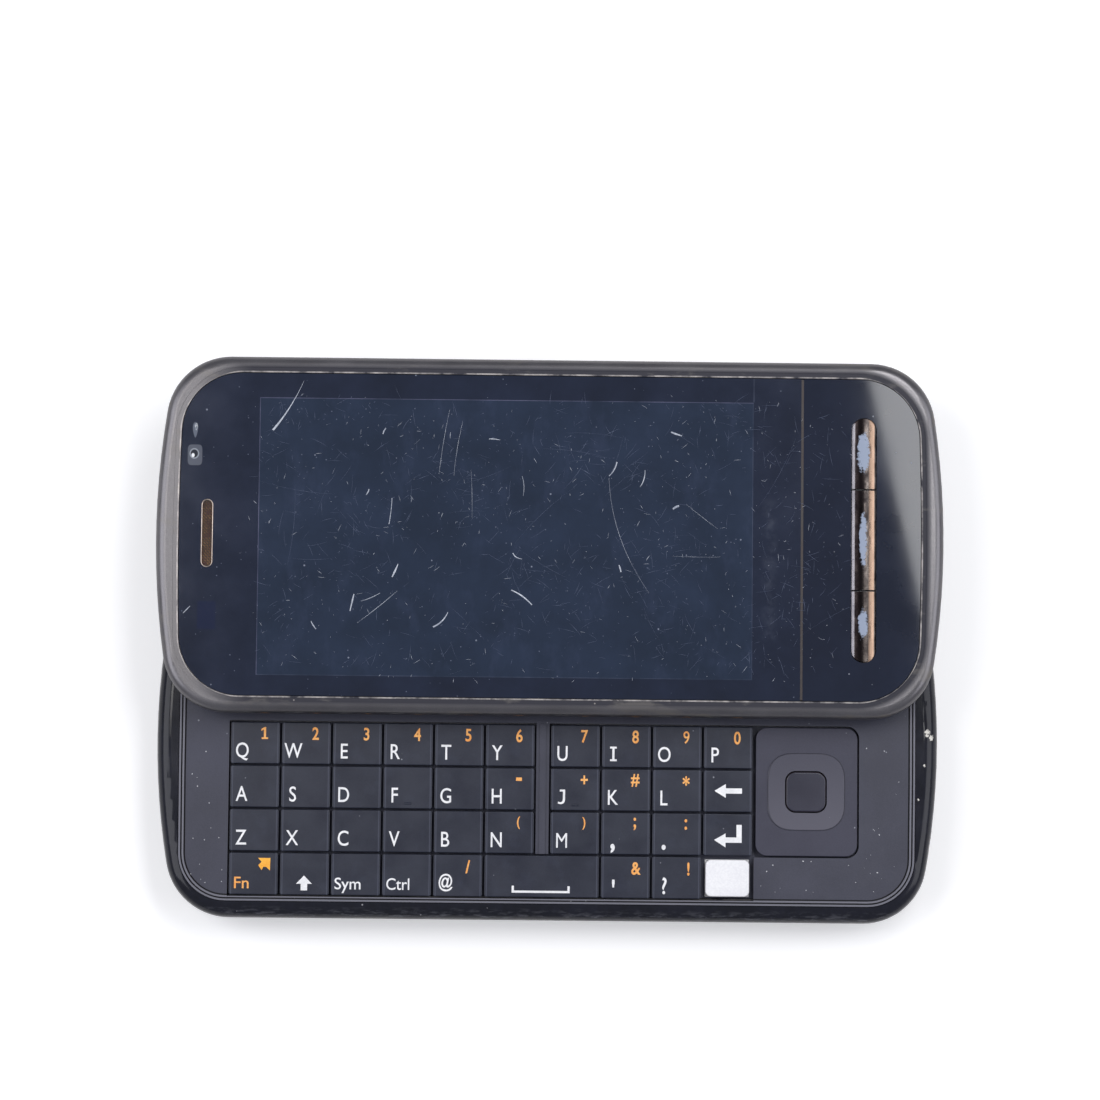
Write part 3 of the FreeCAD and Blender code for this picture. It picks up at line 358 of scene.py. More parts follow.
def window_distance(where):
    """Distance from the window's outline, in metres."""
    x, y, _ = made_from("ShaderNodeSeparateXYZ",
                        {0: made_from("ShaderNodeVectorMath",
                                      {0: made_from("ShaderNodeVectorMath",
                                                    {0: where, 1: point(0, -SLIDER_Y, 0)},
                                                    operation="ADD")[0]}, operation="ABSOLUTE")[0]})
    from_bow = made_from("ShaderNodeMath", {0: x, 1: (WINDOW_END_BOW - WINDOW_HALF_LENGTH) * MM},
                         operation="ADD")[0]
    end_reach = made_from("ShaderNodeVectorMath",
                          {0: made_from("ShaderNodeCombineXYZ", {0: from_bow, 1: y, 2: 0.0})[0]},
                          operation="LENGTH")["Value"]
    end = made_from("ShaderNodeMath", {0: end_reach, 1: (WINDOW_END_BOW - WINDOW_CORNER) * MM},
                    operation="SUBTRACT")[0]
    side = made_from("ShaderNodeMath", {0: y, 1: (WINDOW_HALF_WIDTH - WINDOW_CORNER) * MM},
                     operation="SUBTRACT")[0]
    outward = made_from("ShaderNodeVectorMath",
                        {0: made_from("ShaderNodeCombineXYZ", {0: end, 1: side, 2: 0.0})[0], 1: (0, 0, 0)},
                        operation="MAXIMUM")[0]
    inward = made_from("ShaderNodeMath",
                       {0: made_from("ShaderNodeMath", {0: end, 1: side}, operation="MAXIMUM")[0], 1: 0.0},
                       operation="MINIMUM")[0]
    total = made_from("ShaderNodeMath",
                      {0: made_from("ShaderNodeVectorMath", {0: outward}, operation="LENGTH")["Value"],
                       1: inward}, operation="ADD")[0]
    return made_from("ShaderNodeMath", {0: total, 1: WINDOW_CORNER * MM}, operation="SUBTRACT")[0]


print("window outline:", 2 * WINDOW_HALF_LENGTH, "by", 2 * WINDOW_HALF_WIDTH, "mm")

# %% [markdown]
# The bezel is ABS under a thin vacuum-metallised coat and a satin lacquer, so it is a
# dark metal to the eye: bright where it mirrors a lamp, dark where it doesn't. Its inner
# band is painted darker and not metal, as painted shade, except at the left end, where light falls.
# The fine lip round the glass has lost its coat to pockets and keys: a thin bright line with gaps and chips.

# %% Bezel: vacuum-metallised ABS with a satin lacquer
LEFT_END_X = -51.0
LIP = (16.69, 16.74)
BEZEL_FLANK = (15.2, 16.6)
bezel_finish, shader, where = grained("satin_metallised_abs", {"Specular IOR Level": 0.2}, 0.16, 0.0012,
                                      ("#666466", "#757375"), (0.30, 0.40))
distance = window_distance(where)
from_left_end = made_from("ShaderNodeMapRange",
                          {0: made_from("ShaderNodeSeparateXYZ", {0: where})[0], 1: LEFT_END_X * MM,
                           2: (LEFT_END_X + 8) * MM, 3: 0.0, 4: 1.0})[0]
# Painted shade: the band next to the glass is painted darker and not metal; the left end is spared, where
# light falls.
painted_shade_band = times(made_from("ShaderNodeMapRange",
                             {0: distance, 1: 0.76 * MM, 2: 1.50 * MM, 3: 1.0, 4: 0.0})[0], from_left_end)
add_marks(shader, painted_shade_band, "#33333b", 0.50)
metal_outside(shader, painted_shade_band, 0.92)
lip = times(height_band(where, *LIP),
            made_from("ShaderNodeMapRange", {0: distance, 1: 0.20 * MM, 2: 0.24 * MM, 3: 1.0, 4: 0.0})[0])
worn = rubbed(where, 2.4, 0.38, 0.60)
add_marks(shader, times(lip, worn), "#a9a4a2", 0.38)
nicks = specks(where, 1.1, 0.14, 0.10)
add_marks(shader, nicks, "#8f8a88", 0.5)
side_rub = times(height_band(where, *BEZEL_FLANK, 0.3), rubbed(where, 2.6, 0.56, 0.66, (0.35, 1, 1)))
add_marks(shader, side_rub, "#77736f", 0.5)
dress(bezel_finish, "slider_bezel")

# %% [markdown]
# The window is one clear acrylic sheet over a black border and a switched-off display.
# Off, the display is only a bluer, slightly lighter black. A thin pale line along the edge of its glass is a
# painted highlight, paler on the top and left than on the right and bottom.
# The sheet is smooth, and years of use have hazed it in soft patches.

# %% Touch window: clear acrylic over a dark display
DISPLAY_CENTRE = (-6.4, SLIDER_Y - 0.3)
DISPLAY_HALF = (35.4, 19.9)
GREY_EDGE_CENTRE = (29.05, SLIDER_Y + 21.4)
GREY_EDGE_HALF = (0.08, 1.7)
HAZE_CENTRE = (31.4, SLIDER_Y - 4.5)
HAZE_HALF = (0.8, 10.0)


def rectangle(where, centre, half, soft=0.03):
    """A mask that is 1 inside a rectangle given in millimetres."""
    moved = made_from("ShaderNodeVectorMath", {0: where, 1: point(-centre[0], -centre[1], 0)},
                      operation="ADD")[0]
    x, y, _ = made_from("ShaderNodeSeparateXYZ",
                        {0: made_from("ShaderNodeVectorMath", {0: moved}, operation="ABSOLUTE")[0]})
    across = made_from("ShaderNodeMapRange",
                       {0: x, 1: (half[0] - soft) * MM, 2: (half[0] + soft) * MM, 3: 1.0, 4: 0.0})[0]
    along = made_from("ShaderNodeMapRange",
                      {0: y, 1: (half[1] - soft) * MM, 2: (half[1] + soft) * MM, 3: 1.0, 4: 0.0})[0]
    return times(across, along)


def only_first(first, second):
    """Where the first mask holds and the second doesn't."""
    return times(first, made_from("ShaderNodeMath", {0: 1.0, 1: second}, operation="SUBTRACT")[0])


window_finish, shader, where = new_finish("worn_clear_acrylic", {"IOR": 1.49, "Specular IOR Level": 0.5})
haze = made_from("ShaderNodeTexNoise",
                 {"Vector": where, "Scale": 1 / (9 * MM), "Detail": 9.0, "Roughness": 0.62})[0]
cloudy = made_from("ShaderNodeMapRange", {0: haze, 1: 0.35, 2: 0.65, 3: 0.0, 4: 1.0})[0]
border = made_from("ShaderNodeMix", {0: cloudy, 6: linear("#131a2b"), 7: linear("#1a2236")},
                   data_type="RGBA")[2]
panel = made_from("ShaderNodeMix", {0: cloudy, 6: linear("#1a2537"), 7: linear("#212d42")},
                  data_type="RGBA")[2]
display = rectangle(where, DISPLAY_CENTRE, DISPLAY_HALF)
feed(shader, "Base Color", made_from("ShaderNodeMix", {0: display, 6: border, 7: panel}, data_type="RGBA")[2])
feed(shader, "Roughness", made_from("ShaderNodeMapRange", {0: haze, 1: 0.40, 2: 0.70, 3: 0.07, 4: 0.12})[0])
# Painted highlight: a thin pale line along the display glass's edge, paler on its top and left edges, dimmer
# on its right and bottom.
LINE = 0.09
for side, low, high, colour in ((1, 0.30, 0.72, "#65657f"), (-1, 0.38, 0.75, "#4d5468")):
    shifted_centre = (DISPLAY_CENTRE[0] + side * LINE, DISPLAY_CENTRE[1] - side * LINE)
    shifted = rectangle(where, shifted_centre, DISPLAY_HALF)
    add_marks(shader, times(only_first(display, shifted), rubbed(where, 9, low, high)), colour)
smudge = rubbed(where, 3.5, 0.54, 0.84, (1, 0.45, 1))
add_marks(shader, times(smudge, display, 0.35), "#3d4763", 0.2)
add_marks(shader, specks(where, 1.3, 0.16, 0.16), "#6f7688", 0.6)
add_marks(shader, specks(where, 0.7, 0.10, 0.35), "#4c556b", 0.5)
column_edge = rectangle(where, GREY_EDGE_CENTRE, GREY_EDGE_HALF)
add_marks(shader, times(column_edge, rubbed(where, 9, 0.30, 0.75), 0.7), "#565c6e")
haze_column = rectangle(where, HAZE_CENTRE, HAZE_HALF, 0.5)
add_marks(shader, times(haze_column, rubbed(where, 2.0, 0.42, 0.72), 0.35), "#4d5363", 0.25)
print("window: border, display, its two lines, haze")

# %% [markdown]
# Three small things lie behind the glass near the earpiece: a light sensor like a drop, with a painted glint
# at its top, the clear square of the front camera, whose lens has a painted bright rim and a painted glint,
# and the dark blue window of the proximity sensor. Each is an oval or rounded square in the same finish.

# %% Sensors behind the glass
SENSOR_X = -51.0


def rounded(where, centre, half, power, narrowing=0.0):
    """0 at the centre of an oval or rounded square, 1 on its outline; it may narrow downwards."""
    x, y, _ = made_from("ShaderNodeSeparateXYZ",
                        {0: made_from("ShaderNodeVectorMath", {0: where, 1: point(-centre[0], -centre[1], 0)},
                                      operation="ADD")[0]})
    up_share = made_from("ShaderNodeMath", {0: y, 1: half[1] * MM}, operation="DIVIDE")[0]
    width = made_from("ShaderNodeMapRange",
                      {0: up_share, 1: -1.0, 2: 1.0, 3: (1 - narrowing) * half[0] * MM, 4: half[0] * MM})[0]
    side_share = made_from("ShaderNodeMath", {0: x, 1: width}, operation="DIVIDE")[0]
    bulges = [made_from("ShaderNodeMath",
                        {0: made_from("ShaderNodeMath", {0: share}, operation="ABSOLUTE")[0], 1: power},
                        operation="POWER")[0] for share in (up_share, side_share)]
    return made_from("ShaderNodeMath", {0: bulges[0], 1: bulges[1]}, operation="ADD")[0]


drop = rounded(where, (SENSOR_X, SLIDER_Y + 14.8), (0.52, 1.15), 2.0, 0.6)
add_marks(shader, made_from("ShaderNodeMapRange", {0: drop, 1: 0.75, 2: 1.05, 3: 0.75, 4: 0.0})[0], "#6b7280")
# Painted highlight: a bright glint at the top right of the drop.
painted_glint = rounded(where, (SENSOR_X + 0.12, SLIDER_Y + 15.25), (0.30, 0.55), 2.0, 0.5)
add_marks(shader, times(made_from("ShaderNodeMapRange", {0: painted_glint, 1: 0.5, 2: 1.0, 3: 1.0, 4: 0.0})[0],
                        rubbed(where, 0.3, 0.40, 0.55)), "#cfd3d8")
pane = rounded(where, (SENSOR_X, SLIDER_Y + 11.2), (1.05, 1.5), 5.0)
add_marks(shader, made_from("ShaderNodeMapRange", {0: pane, 1: 0.85, 2: 1.05, 3: 0.8, 4: 0.0})[0], "#5c606b")
# Painted highlight: a pale ring round the camera's lens; then its dark centre.
lens = rounded(where, (SENSOR_X - 0.1, SLIDER_Y + 11.4), (0.72, 0.80), 2.0)
add_marks(shader, made_from("ShaderNodeMapRange", {0: lens, 1: 0.80, 2: 1.0, 3: 1.0, 4: 0.0})[0], "#8f949e")
add_marks(shader, made_from("ShaderNodeMapRange", {0: lens, 1: 0.45, 2: 0.60, 3: 1.0, 4: 0.0})[0], "#20242e")
# Painted highlight: a small bright glint on the camera's lens.
painted_glint = rounded(where, (SENSOR_X - 0.28, SLIDER_Y + 11.15), (0.26, 0.34), 2.0)
add_marks(shader, made_from("ShaderNodeMapRange", {0: painted_glint, 1: 0.5, 2: 1.0, 3: 1.0, 4: 0.0})[0], "#e6e8ec")
proximity = rectangle(where, (-49.0, SLIDER_Y - 11.75), (1.3, 2.0), 0.15)
add_marks(shader, times(proximity, 0.75), "#101a38")
dress(window_finish, "touch_window")

# %% [markdown]
# The strip round the three keys is the same acrylic with a plain black back. It has
# fewer scratches, and a little dust collects round the keys.

# %% Key strip: black-backed acrylic
strip_finish, shader, where = new_finish("black_backed_acrylic", {"IOR": 1.49, "Specular IOR Level": 0.5})
haze = made_from("ShaderNodeTexNoise",
                 {"Vector": where, "Scale": 1 / (11 * MM), "Detail": 6.0, "Roughness": 0.6})[0]
tone = made_from("ShaderNodeMix",
                 {0: made_from("ShaderNodeMapRange", {0: haze, 1: 0.35, 2: 0.65, 3: 0.0, 4: 1.0})[0],
                  6: linear("#111727"), 7: linear("#171e30")}, data_type="RGBA")[2]
feed(shader, "Base Color", tone)
feed(shader, "Roughness", made_from("ShaderNodeMapRange", {0: haze, 1: 0.35, 2: 0.70, 3: 0.035, 4: 0.055})[0])
add_marks(shader, specks(where, 1.1, 0.15, 0.14), "#7a7f8c", 0.6)
dress(strip_finish, "key_plate")

# %% [markdown]
# The lower half is a glossy black ABS tub. Its rim has rubbed against pockets and
# tables: long fine streaks lie along the bottom edge, the outermost edge has gone grey in
# places, and four chips on the right lie where the photograph shows them.

# %% Base housing: polished black ABS
CHIP_LEVEL = 9.5
OUTER_EDGE = (7.3, 8.7)
RIM_LEVELS = (9.0, 11.0)
WALL_LEVELS = (1.0, 7.0)
RIM_CHIPS = ((927, 733, 0.45), (931, 738, 0.35), (924, 766, 0.20), (918, 800, 0.18))
tub_finish, shader, where = grained("polished_black_abs", {"IOR": 1.5, "Specular IOR Level": 0.3}, 0.9,
                                    0.0006, ("#14151c", "#1b1c26"), (0.10, 0.20))
edge_wear = times(height_band(where, *OUTER_EDGE, 0.4), rubbed(where, 1.8, 0.40, 0.54, (0.3, 0.3, 1)))
add_marks(shader, times(edge_wear, 0.65), "#a09d9b", 0.50)
RIM_FRONT = -25.4
near_front = made_from("ShaderNodeMapRange",
                       {0: made_from("ShaderNodeSeparateXYZ", {0: where})[1], 1: (RIM_FRONT - 0.6) * MM,
                        2: (RIM_FRONT + 1.2) * MM, 3: 1.0, 4: 0.0})[0]
streaks = times(near_front, rubbed(where, 0.5, 0.49, 0.63, (0.25, 1, 1)))
add_marks(shader, times(streaks, height_band(where, *RIM_LEVELS, 0.3), 0.55), "#6c6d75", 0.45)
side_rub = times(height_band(where, *WALL_LEVELS, 1.0), rubbed(where, 0.8, 0.58, 0.74, (0.12, 0.12, 1)))
add_marks(shader, times(side_rub, 0.5), "#4a4a50", 0.40)
add_marks(shader, specks(where, 1.2, 0.15, 0.18), "#8d8d92", 0.6)
for pixel_x, pixel_y, size in RIM_CHIPS:
    chip = seen_at(pixel_x, pixel_y, CHIP_LEVEL)
    level = rounded(where, (chip.x, chip.y), (size, size * 1.5), 2.0)
    ragged_chip = made_from("ShaderNodeMath", {0: level, 1: rubbed(where, 0.3, 0.40, 0.62)},
                            operation="ADD")[0]
    add_marks(shader, made_from("ShaderNodeMapRange", {0: ragged_chip, 1: 0.9, 2: 1.1, 3: 1.0, 4: 0.0})[0],
              "#d9d6cf", 0.6)
dress(tub_finish, "base_frame")

# %% [markdown]
# The keyboard plate is matte: its mould was etched, so light spreads evenly and dust shows as pale dots.
# The tops of its ridges are painted paler as a highlight, and its groove floors painted near-black as shade.
# The key caps are satin, a touch smoother and bluer, and fingers have polished them in patches.
# A faint pale line is painted down each side of a cap, where its crown begins, as a highlight; the long space
# cap has it only at its ends.

# %% Keyboard plate and key caps: etched and satin ABS
BAR_CENTRE = (-0.69, -7.2)
BAR_WIDTH = 2.07
COLUMN_PITCH = 7.35
FIRST_COLUMN = -45.825
SPACE_MIDDLE = (-0.69, -19.71)
SPACE_INNER_HALF = (7.4, 3.1)
BAR_HALF = (1.1, 10.0)
RIDGE_TOPS = (10.07, 10.4)
GROOVE_SHADE_LEVELS = (9.0, 9.93)
plate_finish, shader, where = grained("etched_matte_abs", {"IOR": 1.5, "Specular IOR Level": 0.4}, 0.15,
                                      0.003, ("#363743", "#41424f"), (0.42, 0.56))
add_marks(shader, specks(where, 1.4, 0.17, 0.16), "#8b8d95", 0.7)
add_marks(shader, times(rubbed(where, 7, 0.55, 0.8), 0.3), "#4c4d56")
bar_rib = rectangle(where, BAR_CENTRE, BAR_HALF)
# Painted highlight: the tops of the ridges, outside the bar between the key blocks, painted paler.
painted_ridge_highlight = only_first(height_band(where, *RIDGE_TOPS), bar_rib)
add_marks(shader, times(painted_ridge_highlight, 0.7), "#7a7a84", 0.38)
# Painted shade: the floors of the deck's grooves, between these heights, painted near-black.
add_marks(shader, height_band(where, *GROOVE_SHADE_LEVELS), "#101016", 0.7)
dress(plate_finish, "keypad_deck")

letter_keys = [name for name in nodes if name.startswith("key_") and name != "key_plate"]
cap_finish, shader, where = grained("satin_key_abs", {"IOR": 1.5, "Specular IOR Level": 0.45}, 0.17, 0.0016,
                                    ("#1c1f2d", "#242836"), (0.32, 0.42), 4.5)
add_marks(shader, specks(where, 1.5, 0.15, 0.14), "#888b95", 0.7)
add_marks(shader, times(rubbed(where, 3.2, 0.52, 0.78), 0.35), "#3a3f50", 0.28)
x_axis = made_from("ShaderNodeSeparateXYZ", {0: where})[0]
past_bar = made_from("ShaderNodeMapRange",
                     {0: x_axis, 1: (BAR_CENTRE[0] - 0.01) * MM, 2: (BAR_CENTRE[0] + 0.01) * MM, 3: 0.0,
                      4: BAR_WIDTH * MM})[0]
from_first = made_from("ShaderNodeMath", {0: x_axis, 1: FIRST_COLUMN * MM}, operation="SUBTRACT")[0]
from_first = made_from("ShaderNodeMath", {0: from_first, 1: past_bar}, operation="SUBTRACT")[0]
in_cell = made_from("ShaderNodeMath", {0: from_first, 1: COLUMN_PITCH * MM}, operation="PINGPONG")[0]
in_cell = made_from("ShaderNodeMath", {0: in_cell, 1: 0.5 * COLUMN_PITCH * MM}, operation="PINGPONG")[0]
# Painted highlight: a faint pale line down each side of a cap where its crown begins, left out in the middle
# of the space cap.
crown_highlight_line = times(made_from("ShaderNodeMapRange",
                             {0: in_cell, 1: 0.36 * MM, 2: 0.42 * MM, 3: 0.0, 4: 1.0})[0],
                   made_from("ShaderNodeMapRange",
                             {0: in_cell, 1: 0.48 * MM, 2: 0.56 * MM, 3: 1.0, 4: 0.0})[0])
crown_highlight_line = only_first(crown_highlight_line, rectangle(where, SPACE_MIDDLE, SPACE_INNER_HALF))
add_marks(shader, times(crown_highlight_line, 0.45), "#565a6a", 0.34)
dress(cap_finish, *letter_keys)

# %% [markdown]
# The navigation tile carries a soft-touch paint: a thin rubbery lacquer that hides the
# mould's grain. Its ring and centre key are smoother, from the thumb that rests there. The ring's top is
# painted paler, most towards its lower end, as painted light on a dished ring, and it has a thin dark
# outline.

# %% Navigation tile and centre key: soft-touch lacquer
RING_CENTRE = (37.4, -7.19)
RING_HALF = 5.55
RING_ROUNDNESS = 3.6
RING_TOPS = (10.12, 10.4)
CENTRE_KEY_SIDES = (5.0, 10.12)
tile_finish, shader, where = grained("soft_touch_lacquer", {"IOR": 1.48, "Specular IOR Level": 0.4}, 0.2,
                                     0.0014, ("#363644", "#3e3e4c"), (0.40, 0.52))
raised = height_band(where, *RING_TOPS)
y_axis = made_from("ShaderNodeSeparateXYZ", {0: where})[1]
ring_low = (RING_CENTRE[1] - RING_HALF) * MM
ring_high = (RING_CENTRE[1] + RING_HALF) * MM
# Painted light: the ring's top painted paler, most at its lower end, as light falls on a dished ring; it is
# also smoother.
painted_light_gradient = made_from("ShaderNodeMapRange", {0: y_axis, 1: ring_low, 2: ring_high, 3: 0.80, 4: 0.20})[0]
add_marks(shader, times(raised, painted_light_gradient), "#5c5b66", 0.34)
ring_level = rounded(where, RING_CENTRE, (RING_HALF, RING_HALF), RING_ROUNDNESS)
ring_edge = times(made_from("ShaderNodeMapRange", {0: ring_level, 1: 0.92, 2: 0.97, 3: 0.0, 4: 1.0})[0],
                  made_from("ShaderNodeMapRange", {0: ring_level, 1: 1.02, 2: 1.06, 3: 1.0, 4: 0.0})[0])
add_marks(shader, times(ring_edge, 0.6), "#2a2a34", 0.5)
add_marks(shader, specks(where, 1.2, 0.14, 0.16), "#8c8d96", 0.7)
dress(tile_finish, "nav_tile")

centre_finish, shader, where = grained("polished_centre_key", {"IOR": 1.48, "Specular IOR Level": 0.45},
                                       0.2, 0.0010, ("#282835", "#30303f"), (0.28, 0.40))
below_top = height_band(where, *CENTRE_KEY_SIDES)
add_marks(shader, below_top, "#2f211d", 0.5)
dress(centre_finish, "nav_select")

# %% [markdown]
# One cap is missing, so the sheet of silicone under the keys shows there. Silicone is
# never gloss, and lint clings to it. Under the other keys the sheet is painted dark grey as
# painted shade in the grooves, so that no pale line shows in them.

# %% Key mat: white silicone rubber
BARE_PAD_CENTRE = (26.07, -19.71)
BARE_CELL_HALF = (3.18, 2.68)
mat_finish, shader, where = grained("white_silicone", {"IOR": 1.41}, 0.3, 0.004, ("#e6e6ea", "#f6f6f8"),
                                    (0.48, 0.62))
add_marks(shader, specks(where, 0.9, 0.12, 0.12), "#b4b1ac")
bare_cell = rectangle(where, BARE_PAD_CENTRE, BARE_CELL_HALF)
# Painted shade: the sheet painted dark everywhere but the bare cell, standing in for the shade in the
# grooves.
painted_groove_shade = made_from("ShaderNodeMath", {0: 1.0, 1: bare_cell}, operation="SUBTRACT")[0]
add_marks(shader, painted_groove_shade, "#434553", 0.5)
dress(mat_finish, "keypad_mat")

# %% [markdown]
# The three front keys were chromed over a brownish base. Their left half is painted dark as
# shade, the right flank is painted bright bronze as its reflection, and the left flank has a thin painted
# highlight line. The crown has worn through to a dull blue-grey undercoat in ragged patches.

# %% Front keys: worn dark chrome
FRONT_KEY_X = 44.9
BARE_SPOTS = ((12.6, (0.95, 3.0)), (0.1, (0.60, 4.0)), (-12.0, (0.75, 2.2)))
FRAY = 3.0
chrome_finish, shader, where = grained("worn_bronze_chrome", {}, 0.35, 0.0008, ("#4b4644", "#5e5753"),
                                       (0.16, 0.26), 5.0)
across = made_from("ShaderNodeSeparateXYZ", {0: where})[0]
soot = rubbed(where, 1.1, 0.40, 0.62, (1, 0.6, 1))
add_marks(shader, times(soot, 0.8), "#1d1a1c", 0.40)
# Painted shade: the left half of each key painted nearly black.
painted_shade_half = made_from("ShaderNodeMapRange",
                      {0: across, 1: (FRONT_KEY_X - 0.3) * MM, 2: (FRONT_KEY_X + 0.5) * MM, 3: 1.0,
                       4: 0.0})[0]
add_marks(shader, times(painted_shade_half, 0.92), "#141012")
# Painted reflection: the right flank painted bright bronze.
painted_reflection_flank = times(made_from("ShaderNodeMapRange",
                              {0: across, 1: (FRONT_KEY_X + 0.62) * MM, 2: (FRONT_KEY_X + 0.95) * MM, 3: 0.0,
                               4: 1.0})[0],
                    made_from("ShaderNodeMapRange",
                              {0: across, 1: (FRONT_KEY_X + 1.42) * MM, 2: (FRONT_KEY_X + 1.56) * MM, 3: 1.0,
                               4: 0.0})[0])
add_marks(shader, times(painted_reflection_flank, 0.9), "#a98d78")
# Painted highlight: the left flank painted a lighter grey, a thin bright line.
painted_highlight_line = made_from("ShaderNodeMapRange",
                       {0: across, 1: (FRONT_KEY_X - 1.38) * MM, 2: (FRONT_KEY_X - 1.24) * MM, 3: 1.0,
                        4: 0.0})[0]
add_marks(shader, times(painted_highlight_line, 0.8), "#77757a")
ragged = made_from("ShaderNodeTexNoise",
                   {"Vector": where, "Scale": 1 / (0.7 * MM), "Detail": 6.0, "Roughness": 0.7})[0]
bare_spots = None
for up_row, half in BARE_SPOTS:
    level = rounded(where, (FRONT_KEY_X - 0.1, SLIDER_Y + up_row), half, 2.0)
    frayed = made_from("ShaderNodeMath", {0: ragged, 1: FRAY, 2: level}, operation="MULTIPLY_ADD")[0]
    spot = made_from("ShaderNodeMapRange",
                     {0: frayed, 1: 0.5 * FRAY + 0.60, 2: 0.5 * FRAY + 0.90, 3: 1.0, 4: 0.0})[0]
    if bare_spots is None:
        bare_spots = spot
    else:
        bare_spots = made_from("ShaderNodeMath", {0: bare_spots, 1: spot}, operation="MAXIMUM")[0]
add_marks(shader, bare_spots, "#8d98ad", 0.55)
metal_outside(shader, bare_spots)
dress(chrome_finish, "call_key", "menu_key", "end_key")

# %% [markdown]
# The back and the sides aren't in the photograph. A phone of this kind has a matte
# black plate under the slider, a lacquered steel battery cover, satin side keys, and
# inside them bare steel, a circuit board and a wrapped battery.

# %% Covers, side keys and inner parts
TIN_CANS = (7.35, 20.0)
UNDER_BOARD = (-1.0, 6.55)
rear_finish, shader, where = grained("black_textured_abs", {"IOR": 1.5}, 0.22, 0.004,
                                     ("#17181c", "#202126"), (0.45, 0.60))
dress(rear_finish, "slider_rear_cover")

cover_finish, shader, where = grained("lacquered_steel",
                                      {"Metallic": 0.35, "Coat Weight": 0.3, "Coat Roughness": 0.2}, 0.25,
                                      0.0015, ("#24252b", "#303138"), (0.30, 0.44), 16)
add_marks(shader, times(rubbed(where, 0.7, 0.60, 0.72, (0.08, 1, 1)), 0.6), "#5a5b60", 0.5)
add_marks(shader, specks(where, 2.2, 0.22, 0.2), "#76767a", 0.6)
dress(cover_finish, "battery_cover")

side_finish, shader, where = grained("satin_side_key_abs", {"IOR": 1.5}, 0.18, 0.0015,
                                     ("#1c1c22", "#2a2a30"), (0.28, 0.38), 3)
dress(side_finish, "volume_key", "camera_key", "power_key")

steel_finish, shader, where = grained("stamped_stainless_steel", {"Metallic": 1.0}, 2.0, 0.001,
                                      ("#9c9c9f", "#bdbcbd"), (0.22, 0.36), stretch=(1, 14, 14))
dress(steel_finish, "slide_rails", "screws")

board_finish, shader, where = grained("solder_mask_and_tin", {"IOR": 1.5}, 0.5, 0.004,
                                      ("#1c3a2e", "#24483a"), (0.30, 0.45))
add_marks(shader, height_band(where, *TIN_CANS), "#a9a9ab", 0.35)
add_marks(shader, height_band(where, *UNDER_BOARD), "#26262b", 0.45)
dress(board_finish, "main_board")

can_finish, shader, where = grained("printed_battery_wrap", {"IOR": 1.5, "Coat Weight": 0.2}, 0.4, 0.002,
                                    ("#3b3f45", "#4a4f57"), (0.35, 0.45))
dress(can_finish, "battery")

# %% [markdown]
# The letters are pad-printed: a soft pad lifts ink from an etched plate and lays it a
# few hundredths of a millimetre thick on each cap. They are made as text, turned into
# a mesh, narrowed and thickened a little, and only then moved to their key, because a
# finished piece keeps its place in its mesh.

# %% Ink for the letters
def pad_ink(name, dark, light):
    """Printed ink: nearly even, a little thinner in places."""
    return grained(name, {"IOR": 1.5}, 0.12, 0.0008, (dark, light), (0.40, 0.52), 1.2)[0]


white_ink = pad_ink("white_pad_print", "#dcdde0", "#f4f4f6")
orange_ink = pad_ink("orange_pad_print", "#ea9640", "#f8b86a")
yellow_ink = pad_ink("amber_pad_print", "#f2a52c", "#ffbe45")
print("inks:", white_ink.name, orange_ink.name, yellow_ink.name)

# %% [markdown]
# A letter and a drawn outline both become a flat solid one unit thick, so that one step
# can size them and lay them on a cap. Every finished piece is linked the same way: it
# rides on a body of the frame.

# %% Letter shapes and flat shapes as meshes
CAP_TOP = 10.15
INK_THICKNESS = 0.02
INK_SUNK = 0.01
LETTER_NARROWING = 0.80
LETTER_BOLDNESS = 0.006
SIGN_BOLDNESS = 0.018
STOP_ENLARGED = 1.35


def link_mesh(name, mesh, body):
    """A finished piece: its mesh holds its place, and it rides on a body of the frame."""
    piece = bpy.data.objects.new(name, mesh)
    scene.collection.objects.link(piece)
    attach(piece, body)
    return piece


def text_mesh(words, boldness):
    """Flat solid letters, one unit tall at the capitals, standing on y = 0, from z = 0 to 1."""
    text = bpy.data.curves.new("letters", "FONT")
    text.body = words
    text.size = 1.0
    text.offset = boldness
    text.extrude = 0.5
    text.resolution_u = 5
    holder = bpy.data.objects.new("letters", text)
    scene.collection.objects.link(holder)
    mesh = bpy.data.meshes.new_from_object(holder.evaluated_get(bpy.context.evaluated_depsgraph_get()))
    bpy.data.objects.remove(holder)
    bpy.data.curves.remove(text)
    mesh.transform(Matrix.Translation((0, 0, 0.5)))
    return mesh


def extent(mesh):
    """Lowest and highest x and y of a mesh."""
    xs = [v.co.x for v in mesh.vertices]
    ys = [v.co.y for v in mesh.vertices]
    return min(xs), max(xs), min(ys), max(ys)


capital = text_mesh("E", 0.0)
CAPITAL_HEIGHT = extent(capital)[3]
bpy.data.meshes.remove(capital)


def outline_mesh(outline):
    """A flat solid shape from its outline, given anticlockwise in millimetres, from z = 0 to 1."""
    count = len(outline)
    corners = [(x, y, z) for z in (0, 1) for x, y in outline]
    sides = [(k, (k + 1) % count, (k + 1) % count + count, k + count) for k in range(count)]
    mesh = bpy.data.meshes.new("shape")
    mesh.from_pydata(corners, [], [*sides, tuple(reversed(range(count))), tuple(range(count, 2 * count))])
    return mesh


print("capitals are", round(CAPITAL_HEIGHT, 3), "of the font size")

# %% [markdown]
# A key's main letter stands low on the left and its second sign high on the right. All
# places are measured from the groove at the key's upper left corner.

